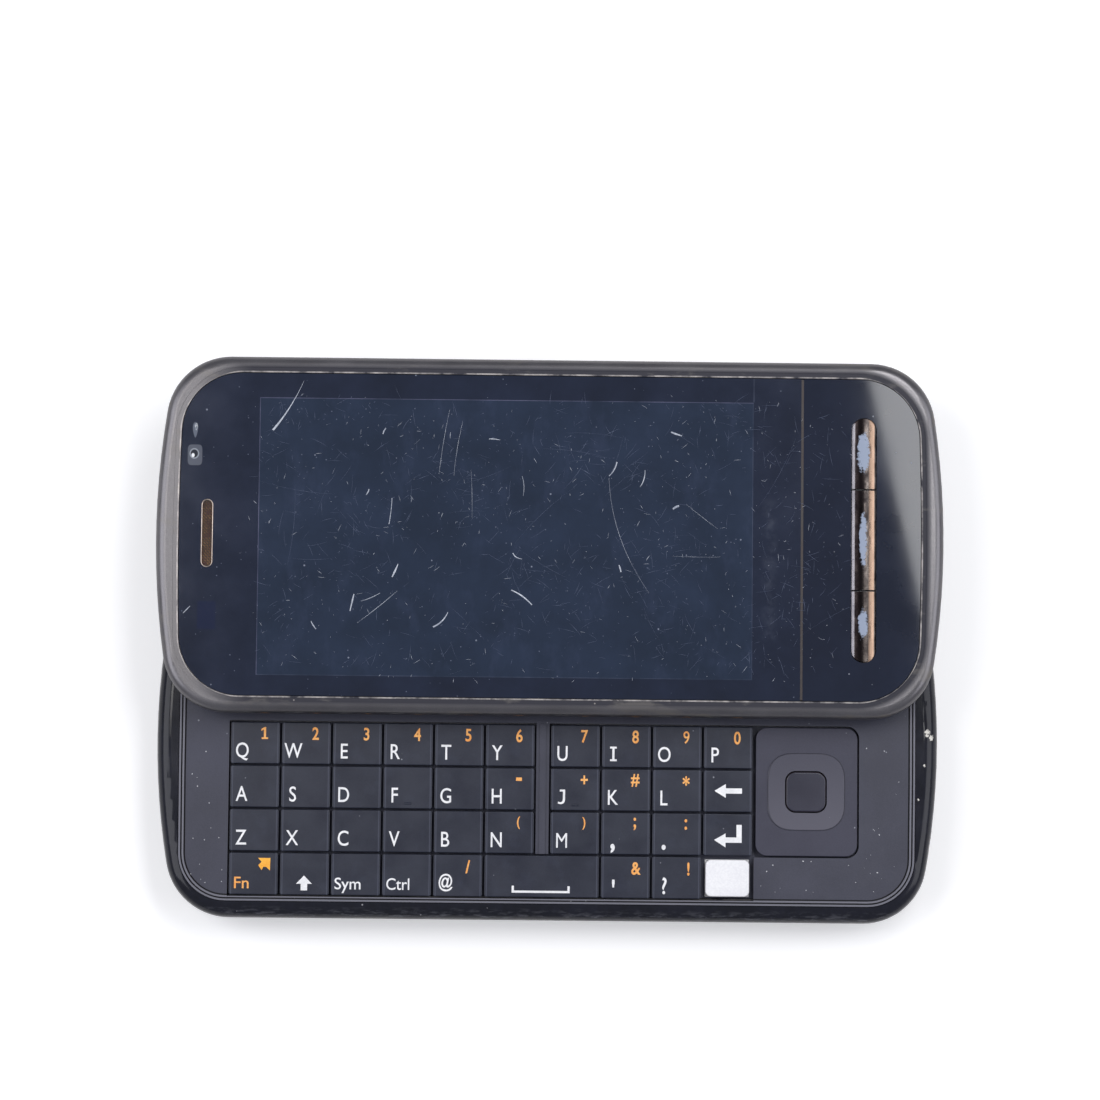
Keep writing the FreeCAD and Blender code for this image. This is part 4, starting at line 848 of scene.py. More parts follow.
# %% Where each legend stands
ROW_PITCH = 6.26
BAR_COLUMN = 6
FIRST_ROW = 2.2


def key_corner(column, row):
    """The upper left corner of a key's cell, in millimetres."""
    shift = BAR_WIDTH if column >= BAR_COLUMN else 0
    return FIRST_COLUMN + COLUMN_PITCH * column + shift, FIRST_ROW - ROW_PITCH * row


def place_ink(mesh, scale, x, y, ink):
    """Scales an ink shape in millimetres, puts it on the cap and gives it its ink."""
    sized = Matrix.Diagonal((scale[0] * MM, scale[1] * MM, INK_THICKNESS * MM, 1))
    mesh.transform(Matrix.Translation(point(x, y, CAP_TOP - INK_SUNK)) @ sized)
    mesh.materials.clear()
    mesh.materials.append(ink)
    return mesh


def letters_on(column, row, words, height, ink, centre=None, left=None, middle=None, base=None,
               bold=LETTER_BOLDNESS, narrowing=LETTER_NARROWING):
    """Letters on a key: centre or left edge across, and middle or baseline down from its corner."""
    mesh = text_mesh(words, bold)
    size = height / CAPITAL_HEIGHT
    low_x, high_x, low_y, high_y = extent(mesh)
    corner_x, corner_y = key_corner(column, row)
    wide = size * narrowing
    x = corner_x + (left - low_x * wide if left is not None else centre - (low_x + high_x) / 2 * wide)
    y = corner_y - (base if base is not None else middle + (low_y + high_y) / 2 * size)
    return place_ink(mesh, (wide, size), x, y, ink)


def shape_on(column, row, outline, x, y, ink):
    """A flat printed shape whose own origin stands x right of and y below the key's corner."""
    corner_x, corner_y = key_corner(column, row)
    return place_ink(outline_mesh(outline), (1, 1), corner_x + x, corner_y - y, ink)


LETTER_HEIGHT = 2.1
SIGN_HEIGHT = 1.72
WORD_HEIGHT = 1.62
BASELINE = 5.25
LETTER_CENTRE = 1.80
SIGN_CENTRE = 4.98
SIGN_MIDDLE = 1.72
letter_i = [(-0.48, 0), (0.48, 0), (0.48, 0.28), (0.16, 0.28), (0.16, 1.82), (0.48, 1.82), (0.48, 2.1),
            (-0.48, 2.1), (-0.48, 1.82), (-0.16, 1.82), (-0.16, 0.28), (-0.48, 0.28)]
letter_j = [(-0.62, 0.12), (-0.40, 0.02), (-0.12, 0), (0.18, 0.10), (0.38, 0.34), (0.44, 0.66), (0.44, 2.1),
            (-0.34, 2.1), (-0.34, 1.82), (0.12, 1.82), (0.12, 0.72), (0.06, 0.46), (-0.10, 0.30),
            (-0.30, 0.28), (-0.54, 0.38)]
drawn_letters = {"I": letter_i, "J": letter_j}
letter_boldness = {"M": 0.0, ",": 0.03, ".": 0.03}
sign_sizes = {"-": 1.5, "(": 0.74, ")": 0.74, ";": 1.15, ":": 1.2, "*": 1.15}
one_outline = [(-0.42, 0), (0.50, 0), (0.50, 0.24), (0.20, 0.24), (0.20, 1.72), (-0.02, 1.72), (-0.48, 1.46),
               (-0.48, 1.18), (-0.12, 1.36), (-0.12, 0.24), (-0.42, 0.24)]
rows = ["QWERTYUIOP", "ASDFGHJKL", "ZXCVBNM,."]
signs = ["1234567890", "     -+#*", "     ();:"]
key_names = {",": "comma", ".": "period"}
made = 0
for row, letters in enumerate(rows):
    for column, letter in enumerate(letters):
        body = "key_" + key_names.get(letter, letter.lower())
        if letter in drawn_letters:
            mesh = shape_on(column, row, drawn_letters[letter], LETTER_CENTRE, BASELINE, white_ink)
        else:
            height = LETTER_HEIGHT * (STOP_ENLARGED if letter in ",." else 1.0)
            mesh = letters_on(column, row, letter, height, white_ink, centre=LETTER_CENTRE, base=BASELINE,
                              bold=letter_boldness.get(letter, LETTER_BOLDNESS))
        link_mesh("print_" + body, mesh, body)
        sign = signs[row][column]
        made += 1
        if sign != " ":
            if sign == "1":
                foot = SIGN_MIDDLE + SIGN_HEIGHT / 2
                mesh = shape_on(column, row, one_outline, SIGN_CENTRE, foot, orange_ink)
            else:
                height = SIGN_HEIGHT * sign_sizes.get(sign, 1.0)
                bold = LETTER_BOLDNESS if sign == "9" else SIGN_BOLDNESS
                mesh = letters_on(column, row, sign, height, orange_ink, centre=SIGN_CENTRE,
                                  middle=SIGN_MIDDLE, bold=bold)
            link_mesh("sign_" + body, mesh, body)
            made += 1
print("letters and signs:", made)

# %% [markdown]
# The keys round the letters carry words and arrows. An arrow is a plain outline drawn
# in millimetres, then given the ink's thickness like the letters.

# %% Words, arrows and the space mark
words = [(0, "Fn", "key_fn", orange_ink, 0.92, 1.05), (2, "Sym", "key_sym", white_ink, 0.66, 1.0),
         (3, "Ctrl", "key_ctrl", white_ink, 0.75, 0.90)]
for column, word, body, ink, left, narrowing in words:
    mesh = letters_on(column, 3, word, WORD_HEIGHT, ink, left=left, base=BASELINE, narrowing=narrowing)
    link_mesh("print_" + body, mesh, body)
single = [(4, "@", "key_at", "/", 5.1, 4.15, 0.85), (7, "'", "key_apostrophe", "&", 5.2, 4.05, 1.3),
          (8, "?", "key_question", "!", 5.4, 4.3, 1.08)]
for column, mark, body, sign, sign_x, mark_y, size in single:
    mesh = letters_on(column, 3, mark, LETTER_HEIGHT * size, white_ink, centre=1.95, middle=mark_y,
                      bold=0.014)
    link_mesh("print_" + body, mesh, body)
    mesh = letters_on(column, 3, sign, SIGN_HEIGHT, orange_ink, centre=sign_x, middle=1.85, bold=0.024)
    link_mesh("sign_" + body, mesh, body)

shift_arrow = [(-0.47, 0), (0.47, 0), (0.47, 0.95), (1.14, 0.95), (0, 2.13), (-1.14, 0.95), (-0.47, 0.95)]
slant_arrow = [(0.05, 0.75), (0.52, 0.05), (0.80, 0.55), (1.20, 0.50), (1.73, 0.0), (1.78, 1.79), (0.0, 1.79),
               (0.52, 1.25)]
back_arrow = [(0, 0), (1.65, -1.0), (1.65, -0.38), (3.98, -0.38), (3.98, 0.38), (1.65, 0.38), (1.65, 1.0)]
enter_arrow = [(0, 0), (1.65, -1.05), (1.65, -0.38), (3.98, -0.38), (3.98, 2.2), (3.22, 2.2), (3.22, 0.38),
               (1.65, 0.38), (1.65, 0.95)]
space_mark = [(0, 0), (8.35, 0), (8.35, 1.0), (8.03, 1.0), (8.03, 0.32), (0.32, 0.32), (0.32, 1.0), (0, 1.0)]
arrows = [
    ("print_key_shift", "key_shift", shift_arrow, 1, 3, 3.62, 5.48, white_ink),
    ("sign_key_fn", "key_fn", slant_arrow, 0, 3, 4.32, 2.68, yellow_ink),
    ("print_key_backspace", "key_backspace", back_arrow, 9, 1, 1.72, 3.1, white_ink),
    ("print_key_enter", "key_enter", enter_arrow, 9, 2, 1.72, 3.9, white_ink),
    ("print_key_space", "key_space", space_mark, 5, 3, 4.1, 5.5, white_ink),
]
for name, body, outline, column, row, x, y, ink in arrows:
    link_mesh(name, shape_on(column, row, outline, x, y, ink), body)
print("words and arrows:", len(words) + 2 * len(single) + len(arrows))

# %% [markdown]
# The window and the key strip are two sheets with a seam between them. The glue that
# seals it has browned with age and shows as a dull thin line, a little below the glass.

# %% Seam: aged acrylic glue
SEAM_X = 36.05
SEAM_HALF = 0.175
SEAM_HALF_LENGTH = 23.0
GLUE_TOP = 16.56
GLUE_BOTTOM = 16.0


def bar_mesh(x0, x1, y0, y1, z0, z1, cuts=40):
    """A long bar in millimetres, cut across many times so that it can be bent or textured."""
    work = bmesh.new()
    bmesh.ops.create_cube(work, size=1.0)
    size = Matrix.Diagonal(((x1 - x0) * MM, (y1 - y0) * MM, (z1 - z0) * MM, 1))
    middle = Matrix.Translation(point((x0 + x1) / 2, (y0 + y1) / 2, (z0 + z1) / 2))
    bmesh.ops.transform(work, matrix=middle @ size, verts=work.verts)
    long_edges = [e for e in work.edges if abs((e.verts[0].co - e.verts[1].co).y) > 0.5 * (y1 - y0) * MM]
    bmesh.ops.subdivide_edges(work, edges=long_edges, cuts=cuts)
    return finished(work, "bar")


glue_finish, shader, where = grained("aged_acrylic_glue", {"IOR": 1.48}, 0.3, 0.002, ("#2b2524", "#3a302e"),
                                     (0.40, 0.55), 2.5)
seam = bar_mesh(SEAM_X - SEAM_HALF, SEAM_X + SEAM_HALF,
                SLIDER_Y - SEAM_HALF_LENGTH, SLIDER_Y + SEAM_HALF_LENGTH, GLUE_BOTTOM, GLUE_TOP)
seam.materials.append(glue_finish)
link_mesh("seam_glue", seam, "slider")
print("seam length", 2 * SEAM_HALF_LENGTH, "mm")

# %% [markdown]
# The earpiece is a slot with a thin bright ring and a woven screen that keeps lint out.
# The screen is plain weave: wires over and under each other. Geometry Nodes draw one
# wavy wire and repeat it, once along and once across, with the sizes as named inputs.

# %% Earpiece screen: woven wire by Geometry Nodes
EAR_X = -49.1
EAR_HALF_WIDTH = 0.85
EAR_HALF_LENGTH = 4.9
SCREEN_TOP = 16.44


def new_tree(name, inputs):
    """A Geometry Nodes tree with named inputs, given as (name, type, value)."""
    tree = bpy.data.node_groups.new(name, "GeometryNodeTree")
    tree.is_modifier = True
    for label, kind, value in inputs:
        socket = tree.interface.new_socket(label, in_out="INPUT", socket_type=kind)
        if value is not None:
            socket.default_value = value
    tree.interface.new_socket("Geometry", in_out="OUTPUT", socket_type="NodeSocketGeometry")
    start = add_node(tree, "NodeGroupInput")
    return tree, start


def result_of(tree, name, values, start_mesh=None):
    """Runs a tree on a mesh with the given input values and returns its result as a plain mesh."""
    holder = bpy.data.objects.new(name, start_mesh or bpy.data.meshes.new(name))
    scene.collection.objects.link(holder)
    modifier = holder.modifiers.new("nodes", "NODES")
    modifier.node_group = tree
    for item in tree.interface.items_tree:
        if item.item_type == "SOCKET" and item.in_out == "INPUT" and item.name in values:
            modifier[item.identifier] = values[item.name]
    evaluated = holder.evaluated_get(bpy.context.evaluated_depsgraph_get())
    mesh = bpy.data.meshes.new_from_object(evaluated)
    holder.modifiers.remove(modifier)
    bpy.data.objects.remove(holder)
    mesh.name = name
    return mesh


wire_finish, shader, where = grained("bronze_wire_cloth", {"Metallic": 0.75}, 0.35, 0.002,
                                     ("#4a3326", "#8a6a48"), (0.35, 0.55), 1.6)
add_marks(shader, rubbed(where, 1.3, 0.50, 0.66), "#54323a", 0.5)
add_marks(shader, specks(where, 0.45, 0.10, 0.35), "#b59366", 0.4)

weave, start = new_tree("woven_screen", [
    ("Pitch", "NodeSocketFloat", 0.3), ("Wire", "NodeSocketFloat", 0.1), ("Length", "NodeSocketFloat", 9.6),
    ("Width", "NodeSocketFloat", 1.6), ("Material", "NodeSocketMaterial", None)])


def wire_set(tree, start, long_side, wide_side, turned):
    """Wires along one side, one pitch apart, each waved so that it passes over and under."""
    count = made_from("ShaderNodeMath", {0: start.outputs[wide_side], 1: start.outputs["Pitch"]},
                      operation="DIVIDE")[0]
    steps = made_from("ShaderNodeMath", {0: start.outputs[long_side], 1: start.outputs["Pitch"]},
                      operation="DIVIDE")[0]
    steps = made_from("ShaderNodeMath", {0: steps, 1: 4.0}, operation="MULTIPLY")[0]
    half = made_from("ShaderNodeMath", {0: start.outputs[long_side], 1: -0.5}, operation="MULTIPLY")[0]
    other = made_from("ShaderNodeMath", {0: start.outputs[long_side], 1: 0.5}, operation="MULTIPLY")[0]
    low = made_from("ShaderNodeCombineXYZ", {0: half})[0]
    high = made_from("ShaderNodeCombineXYZ", {0: other})[0]
    line = add_node(tree, "GeometryNodeCurvePrimitiveLine", {"Start": low, "End": high}).outputs[0]
    fine = add_node(tree, "GeometryNodeResampleCurve", {"Curve": line, "Count": steps}).outputs[0]
    across = add_node(tree, "GeometryNodeMeshLine", {"Count": count}, mode="OFFSET")
    offset = made_from("ShaderNodeCombineXYZ", {1: start.outputs["Pitch"]})[0]
    tree.links.new(offset, across.inputs["Offset"])
    many = add_node(tree, "GeometryNodeInstanceOnPoints",
                    {"Points": across.outputs[0], "Instance": fine}).outputs[0]
    real = add_node(tree, "GeometryNodeRealizeInstances", {0: many}).outputs[0]
    shift = made_from("ShaderNodeMath", {0: start.outputs[wide_side], 1: -0.5}, operation="MULTIPLY")[0]
    half_pitch = made_from("ShaderNodeMath", {0: start.outputs["Pitch"], 1: 0.5, 2: shift},
                           operation="MULTIPLY_ADD")[0]
    centre = made_from("ShaderNodeCombineXYZ", {1: half_pitch})[0]
    centred = add_node(tree, "GeometryNodeSetPosition", {"Geometry": real, "Offset": centre}).outputs[0]
    place = add_node(tree, "GeometryNodeInputPosition").outputs[0]
    axes = made_from("ShaderNodeSeparateXYZ", {0: place})
    both = made_from("ShaderNodeMath", {0: axes[0], 1: axes[1]}, operation="ADD")[0]
    phase = made_from("ShaderNodeMath", {0: both, 1: start.outputs["Pitch"]}, operation="DIVIDE")[0]
    angle = made_from("ShaderNodeMath", {0: phase, 1: math.pi}, operation="MULTIPLY")[0]
    wave = made_from("ShaderNodeMath", {0: angle}, operation="SINE")[0]
    lift = made_from("ShaderNodeMath", {0: start.outputs["Wire"], 1: -0.5 if turned else 0.5},
                     operation="MULTIPLY")[0]
    rise = made_from("ShaderNodeMath", {0: wave, 1: lift}, operation="MULTIPLY")[0]
    up_down = made_from("ShaderNodeCombineXYZ", {2: rise})[0]
    waved = add_node(tree, "GeometryNodeSetPosition", {"Geometry": centred, "Offset": up_down}).outputs[0]
    turned_set = add_node(tree, "GeometryNodeTransform",
                          { "Geometry": waved, "Rotation": (0, 0, math.pi / 2 if turned else 0)}).outputs[0]
    return turned_set


along = wire_set(weave, start, "Length", "Width", True)
over = wire_set(weave, start, "Width", "Length", False)
joined = add_node(weave, "GeometryNodeJoinGeometry")
weave.links.new(along, joined.inputs[0])
weave.links.new(over, joined.inputs[0])
radius = made_from("ShaderNodeMath", {0: start.outputs["Wire"], 1: 0.5}, operation="MULTIPLY")[0]
ring = add_node(weave, "GeometryNodeCurvePrimitiveCircle", {"Resolution": 5, "Radius": radius}).outputs[0]
solid = add_node(weave, "GeometryNodeCurveToMesh",
                 {"Curve": joined.outputs[0], "Profile Curve": ring, "Fill Caps": True}).outputs[0]
whole = add_node(weave, "GeometryNodeRealizeInstances", {0: solid}).outputs[0]
coated = add_node(weave, "GeometryNodeSetMaterial",
                  {"Geometry": whole, "Material": start.outputs["Material"]}).outputs[0]
add_node(weave, "NodeGroupOutput", {"Geometry": coated})
screen = result_of(weave, "earpiece_screen", {"Pitch": 0.24, "Wire": 0.10, "Length": 9.1, "Width": 1.44,
                                             "Material": wire_finish})
screen.transform(Matrix.Translation(point(EAR_X, SLIDER_Y, SCREEN_TOP - 0.1)) @ Matrix.Scale(MM, 4))
link_mesh("earpiece_screen", screen, "slider")
print("screen faces:", len(screen.polygons), "materials:", [m.name for m in screen.materials])

# %% [markdown]
# The ring is a thin tan metal trim pressed into the slot's edge. It is swept round two
# pill-shaped outlines, with a crowned top. Under the screen lies the dark bed of the slot
# and, deeper down, the bare steel tray that carries the display.

# %% Ring round the earpiece
trim_finish, shader, where = grained("brushed_tan_trim", {"Metallic": 0.85}, 0.3, 0.001,
                                     ("#a2958c", "#c4b6aa"), (0.28, 0.40), 1.5)
RING_TOP = 16.63
RING_BOTTOM = 16.2
RING_CROWN = 0.05
RING_INSETS = (0.005, 0.15)
STEEL_TRAY = (10.0, 15.2)


def pill_points(half_width, half_length, steps=12):
    """Points round a long pill, centred on the origin, in millimetres."""
    straight = half_length - half_width
    outline = []
    for sign, first in ((1, 0.0), (-1, math.pi)):
        for step in range(steps + 1):
            turn = first + math.pi * step / steps
            outline.append((half_width * math.cos(turn), sign * straight + half_width * math.sin(turn)))
    return outline


def ring_mesh(outer, inner, top, bottom, crown, x, y):
    """A closed ring between two outlines of equally many points, with a rounded top."""
    middle = [((a[0] + b[0]) / 2, (a[1] + b[1]) / 2) for a, b in zip(outer, inner)]
    levels = [(outer, bottom), (outer, top - crown), (middle, top), (inner, top - crown), (inner, bottom)]
    work = bmesh.new()
    loops = [[work.verts.new(point(px + x, py + y, z)) for px, py in outline] for outline, z in levels]
    loops.append(loops[0])
    for low, high in zip(loops, loops[1:]):
        for k in range(len(outer)):
            work.faces.new((low[k], low[(k + 1) % len(outer)], high[(k + 1) % len(outer)], high[k]))
    bmesh.ops.recalc_face_normals(work, faces=work.faces)
    mesh = finished(work, "ring")
    for face in mesh.polygons:
        face.use_smooth = True
    return mesh


ring_outlines = [pill_points(EAR_HALF_WIDTH - inset, EAR_HALF_LENGTH - inset) for inset in RING_INSETS]
ring = ring_mesh(*ring_outlines, RING_TOP, RING_BOTTOM, RING_CROWN, EAR_X, SLIDER_Y)
ring.materials.append(trim_finish)
link_mesh("earpiece_ring", ring, "slider")

grille_finish, shader, where = grained("dark_earpiece_bed", {"Metallic": 0.3}, 0.2, 0.003,
                                       ("#2a211d", "#3d2f28"), (0.45, 0.60), 2.0)
add_marks(shader, height_band(where, *STEEL_TRAY, 0.05), "#9b9b9e", 0.35)
dress(grille_finish, "display_module")
print("ring round the earpiece:", len(ring.polygons), "faces")

# %% [markdown]
# Years of keys and coins have scratched the window: hundreds of short nicks that gather
# in clouds, and long faint hairlines. Geometry Nodes scatter them: points on a grid with
# a cloudy density, a short curve on each, turned and stretched at random from one seed,
# then a thin four-sided tube that tapers at both ends.

# %% Scratches by Geometry Nodes
WINDOW_TOP = 16.6
scratch_tree, start = new_tree("scattered_scratches", [
    ("Length", "NodeSocketFloat", 80.0), ("Width", "NodeSocketFloat", 40.0),
    ("Density", "NodeSocketFloat", 0.1), ("Cloud Size", "NodeSocketFloat", 8.0),
    ("Shortest", "NodeSocketFloat", 0.4), ("Longest", "NodeSocketFloat", 1.6),
    ("Bend", "NodeSocketFloat", 0.1), ("Thickness", "NodeSocketFloat", 0.05),
    ("Seed", "NodeSocketInt", 1), ("Material", "NodeSocketMaterial", None)])
tree = scratch_tree
GRID_STEPS = 40
grid = add_node(tree, "GeometryNodeMeshGrid",
                { "Size X": start.outputs["Length"], "Size Y": start.outputs["Width"],
                 "Vertices X": GRID_STEPS, "Vertices Y": GRID_STEPS}).outputs[0]
place = add_node(tree, "GeometryNodeInputPosition").outputs[0]
cloud_scale = made_from("ShaderNodeMath", {0: 1.0, 1: start.outputs["Cloud Size"]}, operation="DIVIDE")[0]
cloud = add_node(tree, "ShaderNodeTexNoise",
                 {"Vector": place, "Scale": cloud_scale, "Detail": 3.0}).outputs[0]
crowd = made_from("ShaderNodeMapRange", {0: cloud, 1: 0.42, 2: 0.68, 3: 0.08, 4: 1.0})[0]
density = made_from("ShaderNodeMath", {0: crowd, 1: start.outputs["Density"]}, operation="MULTIPLY")[0]
points = add_node(tree, "GeometryNodeDistributePointsOnFaces",
                  { "Mesh": grid, "Density": density, "Seed": start.outputs["Seed"]}).outputs[0]
half_bend = made_from("ShaderNodeCombineXYZ", {0: 0.5, 1: start.outputs["Bend"]})[0]
stroke = add_node(tree, "GeometryNodeCurveQuadraticBezier",
                  { "Resolution": 6, "Start": (0, 0, 0), "Middle": half_bend, "End": (1, 0, 0)}).outputs[0]
turn = add_node(tree, "FunctionNodeRandomValue", {2: 0.0, 3: 2 * math.pi, 8: start.outputs["Seed"]})
turned = made_from("ShaderNodeCombineXYZ", {2: turn.outputs[1]})[0]
other_seed = made_from("ShaderNodeMath", {0: start.outputs["Seed"], 1: 17.0}, operation="ADD")[0]
chance = add_node(tree, "FunctionNodeRandomValue", {2: 0.0, 3: 1.0, 8: other_seed})
few_long = made_from("ShaderNodeMath", {0: chance.outputs[1], 1: 3.0}, operation="POWER")[0]
length = add_node(tree, "ShaderNodeMapRange",
                  { "Value": few_long, 3: start.outputs["Shortest"], 4: start.outputs["Longest"]}).outputs[0]
size = made_from("ShaderNodeCombineXYZ", {0: length, 1: length, 2: 1.0})[0]
scattered = add_node(tree, "GeometryNodeInstanceOnPoints",
                     { "Points": points, "Instance": stroke, "Rotation": turned, "Scale": size}).outputs[0]
real = add_node(tree, "GeometryNodeRealizeInstances", {0: scattered}).outputs[0]
along = add_node(tree, "GeometryNodeSplineParameter")
arch = made_from("ShaderNodeMath", {0: along.outputs["Factor"], 1: math.pi}, operation="MULTIPLY")[0]
taper = made_from("ShaderNodeMath", {0: arch}, operation="SINE")[0]
uneven = add_node(tree, "ShaderNodeTexNoise", {"Vector": place, "Scale": 0.8}).outputs[0]
body = made_from("ShaderNodeMapRange", {0: uneven, 1: 0.35, 2: 0.65, 3: 0.35, 4: 1.0})[0]
thick = made_from("ShaderNodeMath", {0: taper, 1: body}, operation="MULTIPLY")[0]
thick = made_from("ShaderNodeMath", {0: thick, 1: start.outputs["Thickness"]}, operation="MULTIPLY")[0]
thick = made_from("ShaderNodeMath", {0: thick, 1: 0.004}, operation="MAXIMUM")[0]
square = add_node(tree, "GeometryNodeCurvePrimitiveCircle", {"Resolution": 4, "Radius": 0.5}).outputs[0]
tubes = add_node(tree, "GeometryNodeCurveToMesh",
                 { "Curve": real, "Profile Curve": square, "Scale": thick, "Fill Caps": True}).outputs[0]
whole = add_node(tree, "GeometryNodeRealizeInstances", {0: tubes}).outputs[0]
coated = add_node(tree, "GeometryNodeSetMaterial",
                  {"Geometry": whole, "Material": start.outputs["Material"]}).outputs[0]
add_node(tree, "NodeGroupOutput", {"Geometry": coated})


def scratched_finish(name, dark, light):
    """Torn acrylic: dull, and brighter where the scratch is deeper."""
    return grained(name, {"IOR": 1.49}, 0.25, 0.001, (dark, light), (0.45, 0.65), 2.2)[0]


SCRATCH_FLATNESS = 0.35


def lay_on_window(mesh, name):
    """Flattens millimetre scratches, half sunk in the glass, and lets them ride on the slider."""
    flat = Matrix.Diagonal((MM, MM, MM * SCRATCH_FLATNESS, 1))
    mesh.transform(Matrix.Translation(point(0, SLIDER_Y, WINDOW_TOP)) @ flat)
    return link_mesh(name, mesh, "slider")


deep = scratched_finish("deep_torn_acrylic", "#7f8696", "#d3d8e2")
faint = scratched_finish("faint_torn_acrylic", "#39435c", "#67718a")
INPUT_NAMES = ("Length", "Width", "Density", "Cloud Size", "Shortest", "Longest", "Bend", "Thickness", "Seed")
SCATTERED = (("nicks", deep, (86.0, 41.0, 0.32, 9.0, 0.12, 1.2, 0.04, 0.065, 4)),
             ("fine_scratches", faint, (84.0, 39.0, 0.95, 12.0, 0.3, 3.0, 0.06, 0.05, 11)),
             ("hairlines", faint, (78.0, 32.0, 0.035, 14.0, 2.5, 12.0, 0.07, 0.04, 23)))
for name, finish, values in SCATTERED:
    mesh = result_of(scratch_tree, name, {**dict(zip(INPUT_NAMES, values)), "Material": finish})
    print(name, len(mesh.polygons), "faces, reach", [round(v, 1) for v in extent(mesh)])
    lay_on_window(mesh, name)

# %% [markdown]
# The deepest scratches are laid where the photograph shows them. Each is given
# by three places in the photograph's pixels, its start, a place between and its end, and
# by its width at each in millimetres. The camera's ray through a pixel finds the place on
# the glass.

# %% Deep scratches, one by one
def stroke_mesh(start, through, end, widths, segments=12):
    """A flat tapered curve through three places in millimetres, a lens across and closed at both ends."""
    work = bmesh.new()
    rings = []
    pull = through * 2 - (start + end) / 2
    for step in range(segments + 1):
        share = step / segments
        place = start.lerp(pull, share).lerp(pull.lerp(end, share), share)
        heading = (pull - start).lerp(end - pull, share).normalized()
        side = heading.cross(Vector((0, 0, 1)))
        reach = share * 2
        if reach <= 1:
            width = widths[0] + (widths[1] - widths[0]) * reach
        else:
            width = widths[1] + (widths[2] - widths[1]) * (reach - 1)
        half = width / 2
        rise = Vector((0, 0, half * SCRATCH_FLATNESS))
        corners = [place + shift for shift in (side * half, rise, -side * half, -rise)]
        rings.append([work.verts.new(corner * MM) for corner in corners])
    for low, high in zip(rings, rings[1:]):
        for k in range(4):
            work.faces.new((low[k], low[(k + 1) % 4], high[(k + 1) % 4], high[k]))
    work.faces.new(rings[0])
    work.faces.new(reversed(rings[-1]))
    bmesh.ops.recalc_face_normals(work, faces=work.faces)
    return finished(work, "stroke")


deep_scratches = [
    ((304, 381), (290, 407), (273, 430), (0.03, 0.12, 0.30)),
    ((354, 594), (352, 602), (350, 611), (0.14, 0.20, 0.10)),
    ((398, 564), (395, 571), (392, 577), (0.10, 0.24, 0.16)),
    ((392, 498), (391, 511), (389, 524), (0.10, 0.06, 0.10)),
    ((386, 428), (384, 431), (383, 434), (0.12, 0.18, 0.10)),
    ((369, 489), (368, 492), (366, 495), (0.10, 0.16, 0.08)),
    ((311, 621), (313, 625), (316, 629), (0.08, 0.16, 0.12)),
    ((361, 601), (370, 598), (380, 593), (0.03, 0.09, 0.05)),
    ((357, 623), (378, 607), (397, 591), (0.02, 0.06, 0.03)),
    ((183, 613), (187, 609), (190, 606), (0.06, 0.12, 0.06)),
    ((511, 590), (522, 596), (532, 605), (0.10, 0.20, 0.12)),
    ((448, 612), (442, 621), (433, 627), (0.08, 0.18, 0.22)),
    ((617, 462), (614, 470), (609, 476), (0.16, 0.14, 0.10)),
    ((645, 470), (644, 479), (640, 487), (0.07, 0.11, 0.06)),
    ((671, 432), (676, 434), (682, 436), (0.18, 0.24, 0.12)),
    ((673, 509), (676, 507), (679, 506), (0.22, 0.30, 0.26)),
    ((513, 553), (516, 557), (522, 559), (0.12, 0.12, 0.06)),
    ((619, 565), (620, 568), (621, 572), (0.12, 0.20, 0.16)),
    ((489, 439), (494, 439), (500, 440), (0.08, 0.12, 0.06)),
    ((522, 476), (524, 486), (523, 496), (0.04, 0.06, 0.03)),
    ((609, 478), (620, 537), (649, 593), (0.02, 0.035, 0.015)),
    ((450, 409), (444, 439), (439, 474), (0.015, 0.035, 0.02)),
    ((463, 421), (457, 450), (454, 476), (0.015, 0.03, 0.015)),
    ((471, 470), (472, 494), (472, 518), (0.012, 0.025, 0.012)),
    ((673, 556), (696, 557), (720, 557), (0.012, 0.025, 0.012)),
    ((686, 504), (702, 517), (718, 529), (0.015, 0.03, 0.012)),
]
for number, (first, middle, last, widths) in enumerate(deep_scratches):
    mesh = stroke_mesh(*(seen_at(x, y, WINDOW_TOP) for x, y in (first, middle, last)), widths)
    mesh.materials.append(deep)
    link_mesh("deep_scratch_" + str(number + 1), mesh, "slider")
print("deep scratches:", len(deep_scratches))

# %% [markdown]
# The camera on the back has a polished ring, a black lens and a small flash under a
# milky cover. They are one node of the frame, so the finish tells them apart by place:
# by distance from the lens's axis and by height.

# %% Rear camera and flash
REAR_CAMERA = (-43.0, 0.0)
RING_INNER = 3.25
LENS_CLEAR = 1.5
BARREL = (0.62, 12.0)
FLASH_CENTRE = (-43.0, 8.0)
FLASH_HALF = (1.7, 1.2)
camera_finish, shader, where = grained("turned_trim_and_lens", {}, 0.25, 0.0008, ("#8d8e93", "#a8a8ad"),
                                       (0.18, 0.28), 3.0)
moved = made_from("ShaderNodeVectorMath", {0: where, 1: point(-REAR_CAMERA[0], -REAR_CAMERA[1], 0)},
                  operation="ADD")[0]
flat = made_from("ShaderNodeVectorMath", {0: moved, 1: (1, 1, 0)}, operation="MULTIPLY")[0]
reach = made_from("ShaderNodeVectorMath", {0: flat}, operation="LENGTH")["Value"]
lens_area = made_from("ShaderNodeMapRange",
                      {0: reach, 1: (RING_INNER - 0.02) * MM, 2: (RING_INNER + 0.02) * MM, 3: 1.0, 4: 0.0})[0]
inside = height_band(where, *BARREL)
add_marks(shader, inside, "#202126", 0.5)
add_marks(shader, lens_area, "#0b0c12", 0.06)
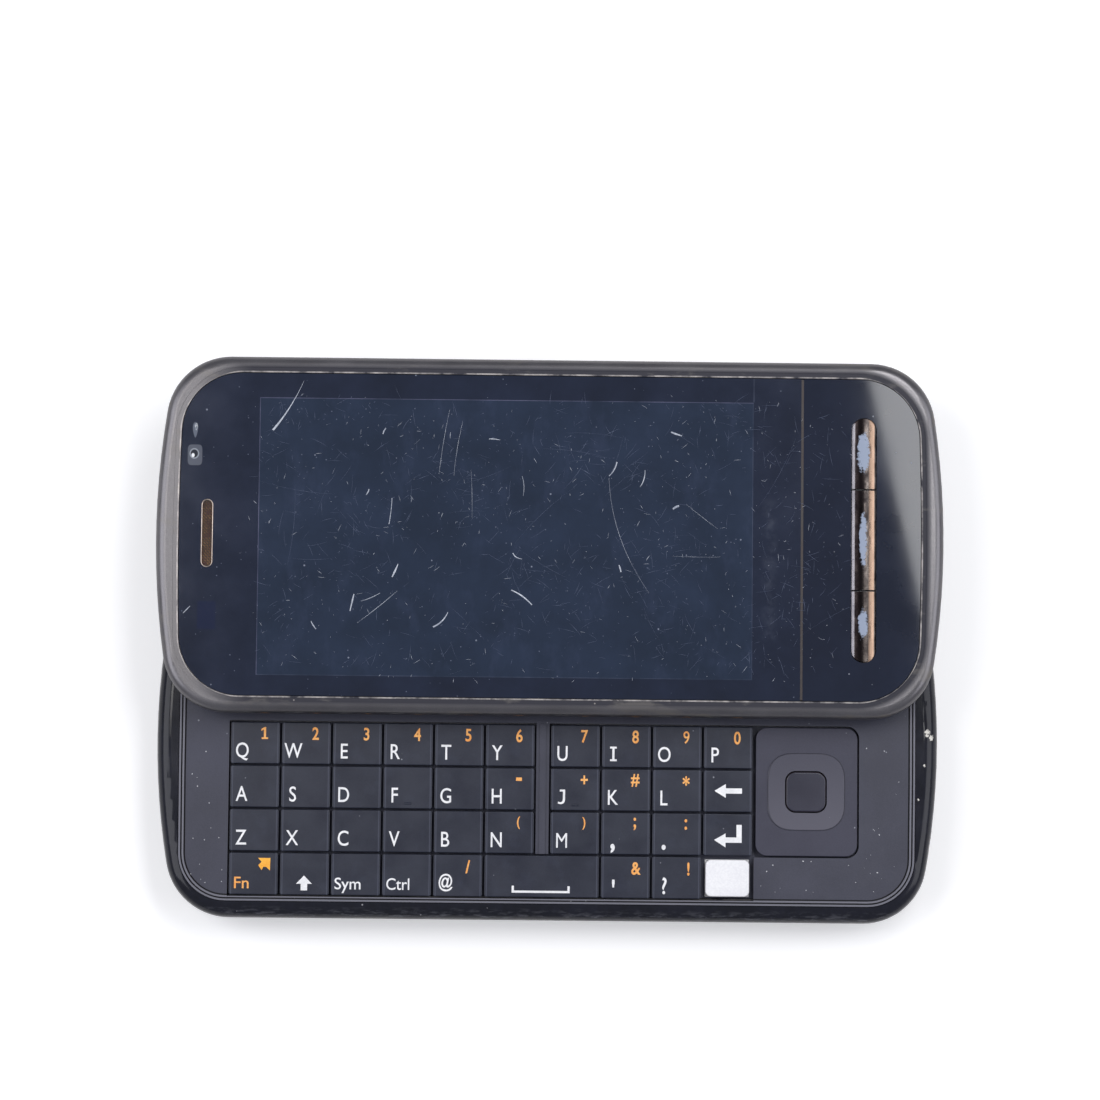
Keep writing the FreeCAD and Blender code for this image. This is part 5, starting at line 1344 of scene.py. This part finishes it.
iris = times(made_from("ShaderNodeMapRange",
                       {0: reach, 1: (LENS_CLEAR - 0.03) * MM, 2: (LENS_CLEAR + 0.03) * MM, 3: 0.0,
                        4: 1.0})[0],
             made_from("ShaderNodeMapRange",
                       {0: reach, 1: (LENS_CLEAR + 0.25) * MM, 2: (LENS_CLEAR + 0.31) * MM, 3: 1.0,
                        4: 0.0})[0])
add_marks(shader, iris, "#3a3c47", 0.12)
flash = rectangle(where, FLASH_CENTRE, FLASH_HALF)
add_marks(shader, flash, "#e2dfc9", 0.30)
metal_outside(shader,
              made_from("ShaderNodeMath",
                        {0: made_from("ShaderNodeMath", {0: lens_area, 1: flash}, operation="MAXIMUM")[0],
                         1: inside}, operation="MAXIMUM")[0])
dress(camera_finish, "rear_camera")

# %% [markdown]
# Dust and lint collect on the keyboard plate and in the corners. A few dozen tiny
# rounded crumbs, scattered from one seed, lie on the plate's free strips.

# %% Crumbs of dust on the keyboard plate
DECK_TOP = 10.0
crumb_finish, shader, where = grained("pale_lint", {"IOR": 1.45}, 0.2, 0.002, ("#b9bbc2", "#e2e3e6"),
                                      (0.7, 0.8), 2.0)
random.seed(7)
crumbs = bmesh.new()
CRUMBS_PER_SQUARE = 0.11
STRIPS = ((-51.5, -46.6, -22.0, 1.5), (45.8, 51.0, -21.5, 1.5), (-46.0, 21.0, -23.3, -23.0),
          (30.5, 45.0, -22.3, -16.8))
for left, far, low, high in STRIPS:
    for _ in range(int((far - left) * (high - low) * CRUMBS_PER_SQUARE) + 3):
        spot = Matrix.Translation(point(random.uniform(left, far), random.uniform(low, high), DECK_TOP))
        size = random.uniform(0.03, 0.09) * MM
        shape = Matrix.Diagonal((size, size * random.uniform(0.6, 1.6), size * 0.5, 1))
        around = Matrix.Rotation(random.uniform(0, math.pi), 4, "Z")
        bmesh.ops.create_icosphere(crumbs, subdivisions=1, radius=1.0, matrix=spot @ around @ shape)
crumb_mesh = finished(crumbs, "dust_crumbs")
crumb_mesh.materials.append(crumb_finish)
link_mesh("dust_crumbs", crumb_mesh, "base")
print("dust crumbs:", len(crumb_mesh.polygons) // 20)
